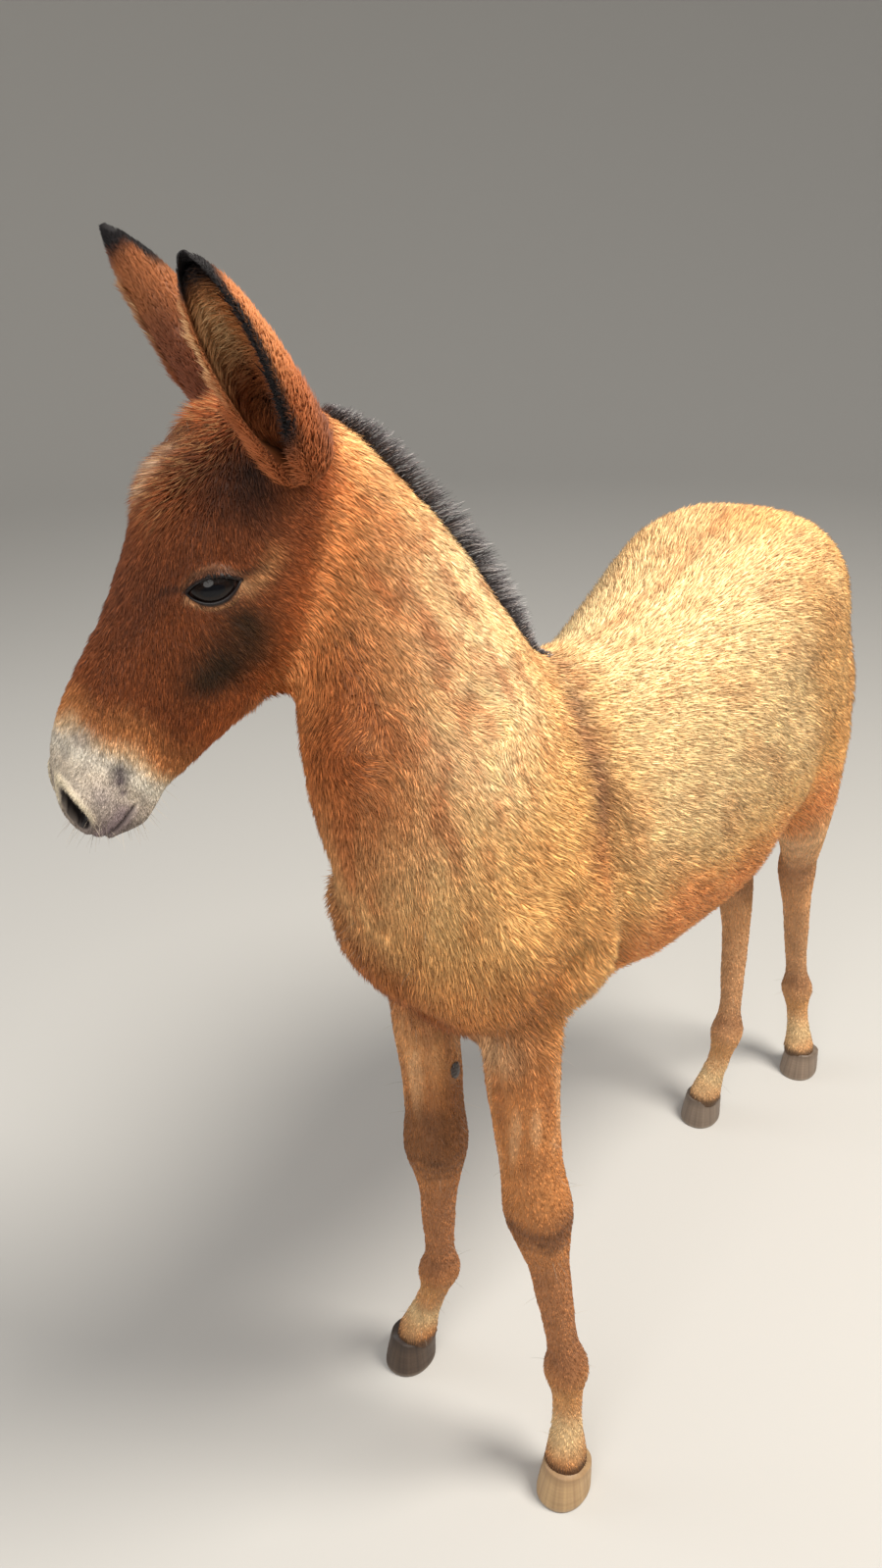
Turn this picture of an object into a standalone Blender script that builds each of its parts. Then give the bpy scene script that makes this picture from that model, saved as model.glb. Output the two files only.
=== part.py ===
"""A mule foal of about two months, standing square and looking to its right.

Metres, +Z up.  The foal faces -Y, its left side is +X, and the floor is z = 0.
The tables below are about the body's middle line; at the end everything is moved
so that the origin is at the middle of the foot of the whole model's box.
Each flesh form is a loft: a profile with a top point, a bottom point and a half
width, carried from station to station.  The lofts are fused into one body, which
is given its muscles and then parted by thin flat cuts into the named nodes.
"""
import bpy
import bmesh
import mathutils.bvhtree
import numpy as np
from mathutils import Vector

# Driving sizes, in metres
WITHERS_HEIGHT = 1.0
HEAD_LENGTH = 0.396
EAR_LENGTH = 0.235
EYE_RADIUS = 0.0205
LID = 0.0024
SLIT_LONG = 0.0205
SLIT_SHORT = 0.0105
MOUTH_DEPTH = 0.005
NOSTRIL_RADII = (0.0125, 0.0060, 0.020)
GAP = 0.0003
SEAT_GAP = 0.0004
VOXEL = 0.0065

# Faces that each node is thinned to before it is cut
TORSO_FACES = 2000
NECK_FACES = 800
HEAD_FACES = 1700
UPPER_LEG_FACES = 260
SHANK_FACES = 380

# Head frame: where the poll is, how far the muzzle points down and to the right
POLL = np.array((-0.1615, -0.4402, 1.2462)) * WITHERS_HEIGHT
HEAD_TURN = 27.6
HEAD_DROP = 55.7
HEAD_ROLL = 1.9

# Heights where the legs are parted, as parts of the withers height
FORELEG_CUT = 0.548
HINDLEG_CUT = 0.575
KNEE_CUT = 0.425
HOCK_CUT = 0.455

# Torso stations: forward, left, top, widest height, bottom, half width,
# fullness above and below (2 is an ellipse), in parts of the withers height
TORSO = (
    (0.420, 0.000, 0.755, 0.722, 0.692, 0.030, 2.0, 2.0),
    (0.402, 0.000, 0.805, 0.728, 0.666, 0.074, 2.0, 2.2),
    (0.352, 0.000, 0.875, 0.732, 0.612, 0.112, 1.9, 2.2),
    (0.270, 0.000, 0.950, 0.735, 0.580, 0.126, 1.7, 2.3),
    (0.172, 0.000, 0.988, 0.740, 0.580, 0.133, 1.6, 2.2),
    (0.060, 0.002, 0.974, 0.750, 0.576, 0.143, 1.9, 2.1),
    (-0.070, 0.002, 0.998, 0.785, 0.566, 0.151, 2.4, 2.3),
    (-0.190, 0.002, 1.038, 0.825, 0.584, 0.153, 2.9, 2.9),
    (-0.290, 0.003, 1.044, 0.860, 0.628, 0.146, 3.0, 2.9),
    (-0.380, 0.004, 1.011, 0.855, 0.690, 0.124, 2.7, 2.3),
    (-0.450, 0.005, 0.951, 0.845, 0.742, 0.096, 2.3, 2.1),
    (-0.494, 0.006, 0.885, 0.820, 0.772, 0.058, 2.0, 2.0),
    (-0.514, 0.006, 0.830, 0.805, 0.785, 0.026, 2.0, 2.0),
)

# Neck stations: crest (left, forward, up), underline (left, forward, up),
# half width, widest height as a part of the depth, fullness above and below
NECK = (
    (0.000, 0.090, 0.965, 0.000, 0.340, 0.660, 0.100, 0.45, 1.7, 2.1),
    (0.000, 0.188, 0.988, -0.006, 0.415, 0.715, 0.096, 0.42, 1.6, 2.2),
    (-0.010, 0.238, 1.048, -0.036, 0.448, 0.805, 0.080, 0.42, 1.6, 2.2),
    (-0.042, 0.272, 1.122, -0.075, 0.450, 0.890, 0.067, 0.44, 1.7, 2.2),
    (-0.085, 0.304, 1.186, -0.108, 0.430, 0.975, 0.060, 0.47, 1.9, 2.1),
    (-0.122, 0.346, 1.234, -0.130, 0.405, 1.045, 0.057, 0.50, 2.0, 2.0),
    (-0.150, 0.400, 1.256, -0.142, 0.412, 1.062, 0.056, 0.50, 2.1, 2.0),
    (-0.178, 0.458, 1.236, -0.158, 0.440, 1.070, 0.050, 0.50, 2.1, 2.0),
)

# Head stations in parts of the head length: along from the poll, top, bottom,
# half width, widest height as a part of the depth, fullness above and below
HEAD = (
    (-0.060, -0.040, -0.230, 0.100, 0.55, 2.0, 2.0),
    (0.000, -0.004, -0.330, 0.138, 0.60, 2.1, 2.0),
    (0.080, 0.012, -0.405, 0.162, 0.62, 2.2, 2.1),
    (0.190, 0.044, -0.448, 0.180, 0.62, 2.3, 2.2),
    (0.310, 0.036, -0.470, 0.182, 0.60, 2.3, 2.4),
    (0.430, 0.018, -0.466, 0.156, 0.56, 2.2, 2.5),
    (0.530, 0.006, -0.420, 0.130, 0.56, 2.1, 2.4),
    (0.640, 0.004, -0.372, 0.110, 0.56, 2.1, 2.2),
    (0.750, -0.004, -0.335, 0.102, 0.52, 2.2, 2.1),
    (0.840, -0.026, -0.306, 0.106, 0.50, 2.3, 2.2),
    (0.915, -0.070, -0.288, 0.100, 0.50, 2.3, 2.3),
    (0.965, -0.118, -0.258, 0.076, 0.50, 2.2, 2.2),
    (0.990, -0.160, -0.220, 0.036, 0.50, 2.0, 2.0),
)

# Soft mounds and hollows of the body: left, forward, up, reach, height
BODY_MOUNDS = (
    (0.114, 0.368, 0.768, 0.050, 0.016), (-0.114, 0.366, 0.775, 0.050, 0.019),
    (0.100, 0.240, 0.890, 0.070, 0.004), (-0.100, 0.240, 0.890, 0.070, 0.004),
    (0.128, 0.225, 0.675, 0.055, 0.008), (-0.128, 0.225, 0.675, 0.055, 0.008),
    (0.000, 0.415, 0.715, 0.022, -0.008), (0.000, 0.390, 0.650, 0.022, -0.008),
    (0.135, -0.240, 0.975, 0.040, 0.007), (-0.131, -0.240, 0.975, 0.040, 0.007),
    (0.150, -0.180, 0.850, 0.050, -0.009), (-0.148, -0.180, 0.850, 0.050, -0.009),
    (0.140, -0.268, 0.665, 0.050, 0.008), (-0.120, -0.262, 0.665, 0.050, 0.008),
)
# Soft mounds and hollows of the head, set on both sides, in parts of its length:
# along, sideways, dorsal, reach, height
HEAD_MOUNDS = (
    (0.270, 0.165, -0.040, 0.060, 0.016),
    (0.460, 0.130, -0.100, 0.060, -0.014),
    (0.510, 0.140, -0.210, 0.050, 0.010),
    (0.350, 0.150, -0.320, 0.110, 0.012),
    (0.180, 0.140, 0.000, 0.050, -0.010),
    (0.905, 0.090, -0.120, 0.055, 0.022),
    (0.720, 0.100, -0.200, 0.060, -0.006),
    (0.900, 0.060, -0.285, 0.050, 0.010),
    (0.800, 0.000, -0.300, 0.040, -0.014),
)

# Leg stations: height, left and forward of the bone line, front and back reach
# from it, half width, fullness
FORELEG_SHAPE = (
    (0.740, 0.060, 0.052, 0.034, 2.0),
    (0.640, 0.064, 0.041, 0.044, 2.0),
    (0.560, 0.052, 0.035, 0.042, 2.0),
    (0.490, 0.042, 0.037, 0.037, 2.0),
    (0.430, 0.036, 0.034, 0.034, 2.1),
    (0.388, 0.035, 0.031, 0.033, 2.3),
    (0.352, 0.027, 0.027, 0.028, 2.2),
    (0.310, 0.018, 0.023, 0.0185, 2.0),
    (0.250, 0.017, 0.022, 0.0170, 2.0),
    (0.195, 0.019, 0.024, 0.0185, 2.0),
    (0.158, 0.023, 0.029, 0.0240, 2.1),
    (0.122, 0.019, 0.022, 0.0200, 2.0),
    (0.085, 0.021, 0.021, 0.0210, 2.0),
    (0.050, 0.029, 0.026, 0.0265, 2.1),
    (0.030, 0.031, 0.026, 0.0275, 2.1),
)
HINDLEG_SHAPE = (
    (0.900, 0.080, 0.090, 0.046, 2.0),
    (0.800, 0.116, 0.118, 0.058, 2.1),
    (0.720, 0.132, 0.096, 0.058, 2.1),
    (0.650, 0.122, 0.068, 0.052, 2.0),
    (0.580, 0.084, 0.056, 0.041, 2.0),
    (0.520, 0.048, 0.052, 0.034, 2.0),
    (0.465, 0.034, 0.044, 0.026, 2.0),
    (0.425, 0.034, 0.040, 0.027, 2.2),
    (0.380, 0.027, 0.029, 0.024, 2.1),
    (0.325, 0.019, 0.022, 0.0185, 2.0),
    (0.250, 0.018, 0.020, 0.0170, 2.0),
    (0.195, 0.020, 0.023, 0.0185, 2.0),
    (0.158, 0.023, 0.029, 0.0240, 2.1),
    (0.122, 0.019, 0.022, 0.0200, 2.0),
    (0.085, 0.021, 0.021, 0.0210, 2.0),
    (0.050, 0.028, 0.026, 0.0265, 2.1),
    (0.030, 0.030, 0.026, 0.0275, 2.1),
)
# The bone line of each leg: left, forward, up
LEG_LINES = {
    "front_left": ((0.052, 0.270, 0.740), (0.064, 0.297, 0.600), (0.080, 0.312, 0.490),
                   (0.098, 0.315, 0.388), (0.115, 0.309, 0.270), (0.131, 0.303, 0.152),
                   (0.145, 0.320, 0.060), (0.150, 0.330, 0.000)),
    "front_right": ((-0.072, 0.255, 0.740), (-0.078, 0.275, 0.600), (-0.066, 0.290, 0.490),
                    (-0.060, 0.294, 0.380), (-0.068, 0.286, 0.270), (-0.080, 0.273, 0.152),
                    (-0.103, 0.284, 0.060), (-0.112, 0.294, 0.000)),
    "hind_left": ((0.074, -0.345, 0.900), (0.080, -0.368, 0.760), (0.084, -0.392, 0.620),
                  (0.064, -0.458, 0.500), (0.046, -0.508, 0.428), (0.044, -0.546, 0.300),
                  (0.046, -0.582, 0.152), (0.062, -0.578, 0.060), (0.068, -0.578, 0.000)),
    "hind_right": ((-0.066, -0.345, 0.900), (-0.072, -0.364, 0.760), (-0.066, -0.366, 0.620),
                   (-0.036, -0.400, 0.500), (-0.016, -0.422, 0.400), (-0.004, -0.412, 0.300),
                   (0.002, -0.396, 0.152), (-0.010, -0.370, 0.060), (-0.016, -0.366, 0.000)),
}

# Hoof rings from the sole up: front reach, back reach, front height, back height,
# half width
HOOF = (
    (0.037, 0.034, 0.000, 0.000, 0.0300),
    (0.033, 0.035, 0.018, 0.014, 0.0288),
    (0.024, 0.037, 0.046, 0.034, 0.0265),
)
# Hanging line of the tail's dock: left, forward, up, radius
TAIL = (
    (0.005, -0.440, 0.955, 0.020),
    (0.005, -0.492, 0.925, 0.021),
    (0.006, -0.522, 0.860, 0.018),
    (0.006, -0.534, 0.780, 0.014),
    (0.006, -0.538, 0.710, 0.009),
)
# Crest line under the mane: left, forward, up, length of the hair
MANE = (
    (-0.006, 0.222, 1.020, 0.024),
    (-0.014, 0.244, 1.056, 0.033),
    (-0.042, 0.272, 1.122, 0.037),
    (-0.085, 0.304, 1.186, 0.037),
    (-0.108, 0.328, 1.216, 0.032),
)
# Locks: rings from root to tip, points a ring, how deep the root is sunk
LOCK_RINGS = 5
LOCK_SIDES = 6
ROOT_DEPTH = 0.008
MANE_LOCKS = 15
FORELOCK_ROWS = ((0.020, 3), (0.060, 3), (0.105, 3))
TAIL_ROWS = ((0.34, 4, 0.110), (0.50, 4, 0.125), (0.66, 4, 0.140), (0.82, 4, 0.150), (0.96, 4, 0.165))
SEED = 7
# Places on the head, in parts of its length: along, sideways, dorsal
EYE_PLACE = (0.333, 0.148, -0.132)
NOSTRIL_PLACE = (0.945, 0.082, -0.150)
MOUTH_CORNER = (0.845, 0.0, -0.235)
MOUTH_FRONT = (0.985, 0.0, -0.215)
EAR_BASE = (0.022, 0.125, -0.185)
# Each ear's way from base to tip in the head's directions
EAR_AXIS = {1: (-0.350, 0.500, 0.790), -1: (-0.430, -0.380, 0.820)}
EAR_TURN = 38.0
EAR_BEND = 0.05
EAR_POINTS = 9
# Ear rings: part of the length, radius, half angle in degrees, wall
EAR_SHAPE = (
    (0.000, 0.120, 165, 0.090),
    (0.140, 0.130, 160, 0.080),
    (0.280, 0.138, 145, 0.026),
    (0.440, 0.140, 124, 0.018),
    (0.600, 0.130, 110, 0.017),
    (0.780, 0.100, 98, 0.016),
    (0.920, 0.056, 92, 0.014),
    (1.000, 0.016, 88, 0.008),
)
# Flat cuts, each from the top line to the underline (left, forward, up), with the
# angle in degrees that the cut is turned to the foal's right
NECK_CUT = ((0.000, 0.195, 1.000), (0.000, 0.455, 0.790), 0.0)
HEAD_CUT = ((-0.125, 0.340, 1.245), (-0.130, 0.428, 1.030), 19.0)

COLOURS = {
    "coat": (0.52, 0.27, 0.12, 1.0),
    "head": (0.30, 0.12, 0.05, 1.0),
    "leg": (0.42, 0.24, 0.13, 1.0),
    "hair": (0.035, 0.030, 0.028, 1.0),
    "eye": (0.012, 0.010, 0.010, 1.0),
    "hoof": (0.26, 0.20, 0.14, 1.0),
}
ROUGHNESS = {"coat": 0.85, "head": 0.85, "leg": 0.85, "hair": 0.7, "eye": 0.08, "hoof": 0.5}


def head_axes():
    """Columns are the head's own directions: poll to muzzle, left, and dorsal."""
    turn, drop, roll = np.radians((HEAD_TURN, HEAD_DROP, HEAD_ROLL))
    along = np.array((-np.sin(turn) * np.cos(drop), -np.cos(turn) * np.cos(drop), -np.sin(drop)))
    level = np.array((np.cos(turn), -np.sin(turn), 0.0))
    left = level * np.cos(roll) + np.cross(along, level) * np.sin(roll)
    return np.stack((along, left, np.cross(along, left)), axis=1)


HEAD_AXES = head_axes()


def in_head(points):
    """Head places, given in parts of the head length, as world places."""
    return POLL + HEAD_LENGTH * np.asarray(points, float) @ HEAD_AXES.T


def to_head(points):
    """World places as head places, in parts of the head length."""
    return (np.asarray(points) - POLL) @ HEAD_AXES / HEAD_LENGTH


def on_body(points):
    """Rows of left, forward, up in withers heights, as world places."""
    rows = np.asarray(points, float) * WITHERS_HEIGHT
    return rows * (1.0, -1.0, 1.0)


def smooth_rows(rows, steps):
    """Cubic curve through the rows, each column alike, steps points a stretch."""
    rows = np.asarray(rows, float)
    slope = np.gradient(rows, axis=0)
    t = np.linspace(0.0, 1.0, steps, endpoint=False)[:, None]
    start = (2 * t**3 - 3 * t**2 + 1, t**3 - 2 * t**2 + t)
    finish = (3 * t**2 - 2 * t**3, t**3 - t**2)
    spans = [start[0] * rows[i] + start[1] * slope[i] + finish[0] * rows[i + 1] + finish[1] * slope[i + 1]
             for i in range(len(rows) - 1)]
    return np.vstack(spans + [rows[-1:]])


def loft(tops, bottoms, width, widest, full_top, full_bottom, sides=28):
    """Points and faces of a profile carried along a path.

    At each ring the centre lies between the bottom and the top point, and the
    profile is a superellipse: sideways width * |cos|^(2/n), and towards the top
    or the bottom point |sin|^(2/n) of the way, n being that half's fullness.
    """
    centre = bottoms + widest[:, None] * (tops - bottoms)
    run = np.gradient(centre, axis=0)
    side = np.cross(run, tops - bottoms)
    side /= np.linalg.norm(side, axis=1)[:, None]
    angle = np.linspace(0.0, 2 * np.pi, sides, endpoint=False)
    cos, sin = np.cos(angle), np.sin(angle)
    power = 2.0 / np.where(sin > 0, full_top[:, None], full_bottom[:, None])
    across = width[:, None] * np.sign(cos) * np.abs(cos) ** power
    rise = np.abs(sin) ** power
    reach = np.where((sin > 0)[None, :, None], (tops - centre)[:, None, :], (bottoms - centre)[:, None, :])
    points = centre[:, None, :] + side[:, None, :] * across[..., None] + reach * rise[..., None]
    count = len(centre)
    ring = np.arange(sides)
    after = np.roll(ring, -1)
    faces = [tuple(int(v) for v in quad)
             for i in range(count - 1)
             for quad in zip(i * sides + ring, i * sides + after, (i + 1) * sides + after, (i + 1) * sides + ring)]
    points = np.vstack((points.reshape(-1, 3), centre[:1], centre[-1:]))
    first, last = count * sides, count * sides + 1
    faces += [(first, int(b), int(a)) for a, b in zip(ring, after)]
    end = (count - 1) * sides
    faces += [(last, int(end + a), int(end + b)) for a, b in zip(ring, after)]
    return points, faces


def torso_loft():
    rows = smooth_rows(TORSO, 6)
    forward, left, top, mid, bottom, width, full_top, full_bottom = rows.T
    tops = on_body(np.stack((left, forward, top), axis=1))
    bottoms = on_body(np.stack((left, forward, bottom), axis=1))
    return loft(tops, bottoms, width * WITHERS_HEIGHT, (mid - bottom) / (top - bottom),
                full_top, full_bottom, 40)


def neck_loft():
    rows = smooth_rows(NECK, 6)
    return loft(on_body(rows[:, 0:3]), on_body(rows[:, 3:6]), rows[:, 6] * WITHERS_HEIGHT,
                rows[:, 7], rows[:, 8], rows[:, 9], 36)


def head_loft():
    rows = smooth_rows(HEAD, 6)
    along, top, bottom, width, widest, full_top, full_bottom = rows.T
    middle = np.zeros_like(along)
    return loft(in_head(np.stack((along, middle, top), axis=1)),
                in_head(np.stack((along, middle, bottom), axis=1)),
                width * HEAD_LENGTH, widest, full_top, full_bottom, 36)


def leg_loft(leg):
    """The leg's profile at each height, carried down its bone line."""
    line = smooth_rows(LEG_LINES[leg], 8)
    shape = FORELEG_SHAPE if leg.startswith("front") else HINDLEG_SHAPE
    rows = smooth_rows(shape, 5)
    height, front, back, width, full = rows.T
    order = np.argsort(line[:, 2])
    left = np.interp(height, line[order, 2], line[order, 0])
    forward = np.interp(height, line[order, 2], line[order, 1])
    tops = on_body(np.stack((left, forward + front, height), axis=1))
    bottoms = on_body(np.stack((left, forward - back, height), axis=1))
    return loft(tops, bottoms, width * WITHERS_HEIGHT, back / (front + back), full, full, 20)


def make_object(name, points, faces):
    mesh = bpy.data.meshes.new(name)
    mesh.from_pydata([tuple(p) for p in points], [], faces)
    body = bmesh.new()
    body.from_mesh(mesh)
    bmesh.ops.recalc_face_normals(body, faces=body.faces)
    body.to_mesh(mesh)
    body.free()
    thing = bpy.data.objects.new(name, mesh)
    bpy.context.collection.objects.link(thing)
    return thing


def settle(thing):
    """Replace the object's mesh by the mesh its modifiers give."""
    graph = bpy.context.evaluated_depsgraph_get()
    mesh = bpy.data.meshes.new_from_object(thing.evaluated_get(graph), depsgraph=graph)
    thing.modifiers.clear()
    old = thing.data
    thing.data = mesh
    bpy.data.meshes.remove(old)
    return thing


def read_points(mesh):
    points = np.empty(len(mesh.vertices) * 3)
    mesh.vertices.foreach_get("co", points)
    return points.reshape(-1, 3)


def read_normals(mesh):
    normals = np.empty(len(mesh.vertices) * 3)
    mesh.vertices.foreach_get("normal", normals)
    return normals.reshape(-1, 3)


def fuse_flesh():
    """All flesh lofts as one closed skin, evened out where they run together."""
    forms = [torso_loft(), neck_loft(), head_loft()] + [leg_loft(leg) for leg in LEG_LINES]
    points, faces = [], []
    base = 0
    for form_points, form_faces in forms:
        points.append(form_points)
        faces += [tuple(v + base for v in face) for face in form_faces]
        base += len(form_points)
    whole = make_object("flesh", np.vstack(points), faces)
    remesh = whole.modifiers.new("fuse", "REMESH")
    remesh.mode = "VOXEL"
    remesh.voxel_size = VOXEL
    even = whole.modifiers.new("even", "SMOOTH")
    even.factor = 0.5
    even.iterations = 10
    settle(whole)
    group = whole.vertex_groups.new(name="trunk")
    points = read_points(whole.data)
    height = np.clip((points[:, 2] / WITHERS_HEIGHT - 0.60) / 0.08, 0.0, 1.0)
    behind = np.clip((0.02 - to_head(points)[:, 0]) / 0.10, 0.0, 1.0)
    below = np.clip((-0.95 - to_head(points)[:, 2]) / 0.10, 0.0, 1.0)
    off_head = np.where(points[:, 2] > WITHERS_HEIGHT, behind, below)
    for index, weight in enumerate(height * off_head):
        if weight > 0.01:
            group.add([index], weight, "REPLACE")
    blend = whole.modifiers.new("blend", "SMOOTH")
    blend.factor = 0.5
    blend.iterations = 60
    blend.vertex_group = "trunk"
    settle(whole)
    raise_mounds(whole.data)
    return whole


def raise_mounds(mesh):
    """Move each point along its normal by height * exp(-(distance / reach)^2)."""
    points, normals = read_points(mesh), read_normals(mesh)
    rise = np.zeros(len(points))
    for left, forward, up, reach, height in BODY_MOUNDS:
        centre = on_body(((left, forward, up),))[0]
        away = np.linalg.norm(points - centre, axis=1) / (reach * WITHERS_HEIGHT)
        rise += height * WITHERS_HEIGHT * np.exp(-away**2)
    for along, sideways, dorsal, reach, height in HEAD_MOUNDS:
        for side in ((1, -1) if sideways else (1,)):
            centre = in_head((along, side * sideways, dorsal))
            away = np.linalg.norm(points - centre, axis=1) / (reach * HEAD_LENGTH)
            rise += height * HEAD_LENGTH * np.exp(-away**2)
    mesh.vertices.foreach_set("co", (points + normals * rise[:, None]).ravel())
    mesh.update()


def largest_body(thing):
    """Keep only the largest closed surface of the object's mesh."""
    body = bmesh.new()
    body.from_mesh(thing.data)
    body.verts.ensure_lookup_table()
    seen, groups = set(), []
    for start in body.verts:
        if start.index in seen:
            continue
        stack, group = [start], []
        seen.add(start.index)
        while stack:
            vert = stack.pop()
            group.append(vert)
            for edge in vert.link_edges:
                other = edge.other_vert(vert)
                if other.index not in seen:
                    seen.add(other.index)
                    stack.append(other)
        groups.append(group)
    groups.sort(key=len, reverse=True)
    for group in groups[1:]:
        bmesh.ops.delete(body, geom=group, context="VERTS")
    body.to_mesh(thing.data)
    body.free()
    return thing


def part_from(whole, name, wanted, cuts, budget):
    """One node of the whole: its faces thinned to the budget, then cut flat.

    wanted tells which points belong, with a margin past the cuts. Each cut is a
    point, an outward normal, and a test for the faces that it may reach.
    """
    points = read_points(whole.data)
    inside = wanted(points)
    picked = [tuple(face.vertices) for face in whole.data.polygons]
    picked = [face for face in picked if all(inside[v] for v in face)]
    used = np.unique([v for face in picked for v in face])
    place = {int(v): i for i, v in enumerate(used)}
    mesh = bpy.data.meshes.new(name)
    mesh.from_pydata([tuple(p) for p in points[used]], [], [tuple(place[v] for v in face) for face in picked])
    thing = bpy.data.objects.new(name, mesh)
    bpy.context.collection.objects.link(thing)
    thin = thing.modifiers.new("thin", "DECIMATE")
    thin.ratio = min(1.0, budget / (2.0 * len(picked)))
    settle(thing)
    body = bmesh.new()
    body.from_mesh(thing.data)
    for point, normal, reaches in cuts:
        faces = [face for face in body.faces if reaches(face.calc_center_median())]
        edges = list({edge for face in faces for edge in face.edges})
        verts = list({vert for face in faces for vert in face.verts})
        bmesh.ops.bisect_plane(body, geom=verts + edges + faces, dist=1e-6, plane_co=point, plane_no=normal,
                               clear_outer=True)
        rim = [edge for edge in body.edges if edge.is_boundary and
               all(abs((vert.co - Vector(point)).dot(Vector(normal))) < 1e-5 for vert in edge.verts)]
        bmesh.ops.holes_fill(body, edges=rim, sides=0)
    bmesh.ops.triangulate(body, faces=body.faces)
    bmesh.ops.recalc_face_normals(body, faces=body.faces)
    body.to_mesh(thing.data)
    body.free()
    return largest_body(thing)


def combine(thing, operation, others, solver="EXACT"):
    """One Boolean of the object with a collection of closed shapes, then gone."""
    group = bpy.data.collections.new("shapes")
    bpy.context.scene.collection.children.link(group)
    for other in others:
        group.objects.link(other)
        bpy.context.collection.objects.unlink(other)
    join = thing.modifiers.new("join", "BOOLEAN")
    join.operation = operation
    join.operand_type = "COLLECTION"
    join.collection = group
    join.solver = solver
    settle(thing)
    for other in others:
        bpy.data.objects.remove(other)
    bpy.data.collections.remove(group)
    return largest_body(thing)


def grown_copy(thing, distance):
    """A copy of a node, its points moved outwards by a small distance."""
    copy = thing.copy()
    copy.data = thing.data.copy()
    bpy.context.collection.objects.link(copy)
    points, normals = read_points(copy.data), read_normals(copy.data)
    copy.data.vertices.foreach_set("co", (points + distance * normals).ravel())
    copy.data.update()
    return copy


def everywhere(_centre):
    return True


def ball(name, centre, radii, axes, around=20, down=12):
    """An ellipsoid: centre + axes * radii * (cos v cos u, cos v sin u, sin v)."""
    u = np.linspace(0.0, 2 * np.pi, around, endpoint=False)
    v = np.linspace(-np.pi / 2, np.pi / 2, down + 1)[1:-1]
    grid = np.stack((np.outer(np.cos(v), np.cos(u)), np.outer(np.cos(v), np.sin(u)),
                     np.outer(np.sin(v), np.ones_like(u))), axis=-1).reshape(-1, 3)
    grid = np.vstack((grid, (0, 0, -1), (0, 0, 1))) * radii
    points = centre + grid @ np.asarray(axes)
    faces = []
    ring = range(around)
    for row in range(down - 2):
        low, high = row * around, (row + 1) * around
        faces += [(low + i, low + (i + 1) % around, high + (i + 1) % around, high + i) for i in ring]
    south, north, top = len(points) - 2, len(points) - 1, (down - 2) * around
    faces += [(south, (i + 1) % around, i) for i in ring]
    faces += [(north, top + i, top + (i + 1) % around) for i in ring]
    return make_object(name, points, faces)


def eye_frame(side):
    """Ball centre, and rows for the slit's long way, its short way and the gaze."""
    gaze = HEAD_AXES @ np.array((0.20, side * 0.95, 0.20))
    gaze /= np.linalg.norm(gaze)
    slit = HEAD_AXES @ np.array((0.56, 0.0, 0.83))
    slit -= gaze * slit.dot(gaze)
    slit /= np.linalg.norm(slit)
    centre = in_head((EYE_PLACE[0], side * EYE_PLACE[1], EYE_PLACE[2]))
    return centre, np.stack((slit, np.cross(gaze, slit), gaze))


def almond(name, centre, frame, half_long, half_short, near, far, count=20):
    """A prism along the gaze, its outline |y| = half_short * (1 - (x/half_long)^2)^0.8."""
    x = np.cos(np.linspace(0.0, np.pi, count // 2 + 1))
    y = half_short * np.maximum(1.0 - x**2, 0.0) ** 0.8
    x = np.concatenate((x, x[1:-1][::-1])) * half_long
    y = np.concatenate((y, -y[1:-1][::-1]))
    sides = len(x)
    rows = [np.stack((x, y, np.full(sides, depth)), axis=1) for depth in (near, far)]
    points = centre + np.vstack(rows) @ frame
    faces = [(i, (i + 1) % sides, sides + (i + 1) % sides, sides + i) for i in range(sides)]
    faces += [tuple(reversed(range(sides))), tuple(range(sides, 2 * sides))]
    return make_object(name, points, faces)


def dress_eye(head, side, name):
    """Lids as a thin shell over the ball with an almond slit, and the ball itself."""
    centre, frame = eye_frame(side)
    shell = ball("lids", centre, (EYE_RADIUS + LID,) * 3, frame, 20, 12)
    combine(shell, "DIFFERENCE", [almond("slit", centre, frame, SLIT_LONG, SLIT_SHORT, 0.004, 0.04)])
    combine(head, "UNION", [shell])
    combine(head, "DIFFERENCE", [ball("socket", centre, (EYE_RADIUS + GAP,) * 3, frame, 20, 12)])
    return ball(name, centre, (EYE_RADIUS,) * 3, frame, 20, 12)


def cut_nostrils(head):
    """A slanted oval pocket on each side of the muzzle."""
    cutters = []
    for side in (1, -1):
        centre = in_head((NOSTRIL_PLACE[0], side * NOSTRIL_PLACE[1], NOSTRIL_PLACE[2]))
        inward = HEAD_AXES @ np.array((-0.72, -side * 0.60, -0.20))
        inward /= np.linalg.norm(inward)
        long_way = HEAD_AXES @ np.array((0.35, side * 0.10, -0.90))
        long_way -= inward * long_way.dot(inward)
        long_way /= np.linalg.norm(long_way)
        frame = np.stack((long_way, np.cross(inward, long_way), inward))
        cutters.append(ball("nostril", centre, NOSTRIL_RADII, frame, 14, 8))
    combine(head, "DIFFERENCE", cutters)


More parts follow.
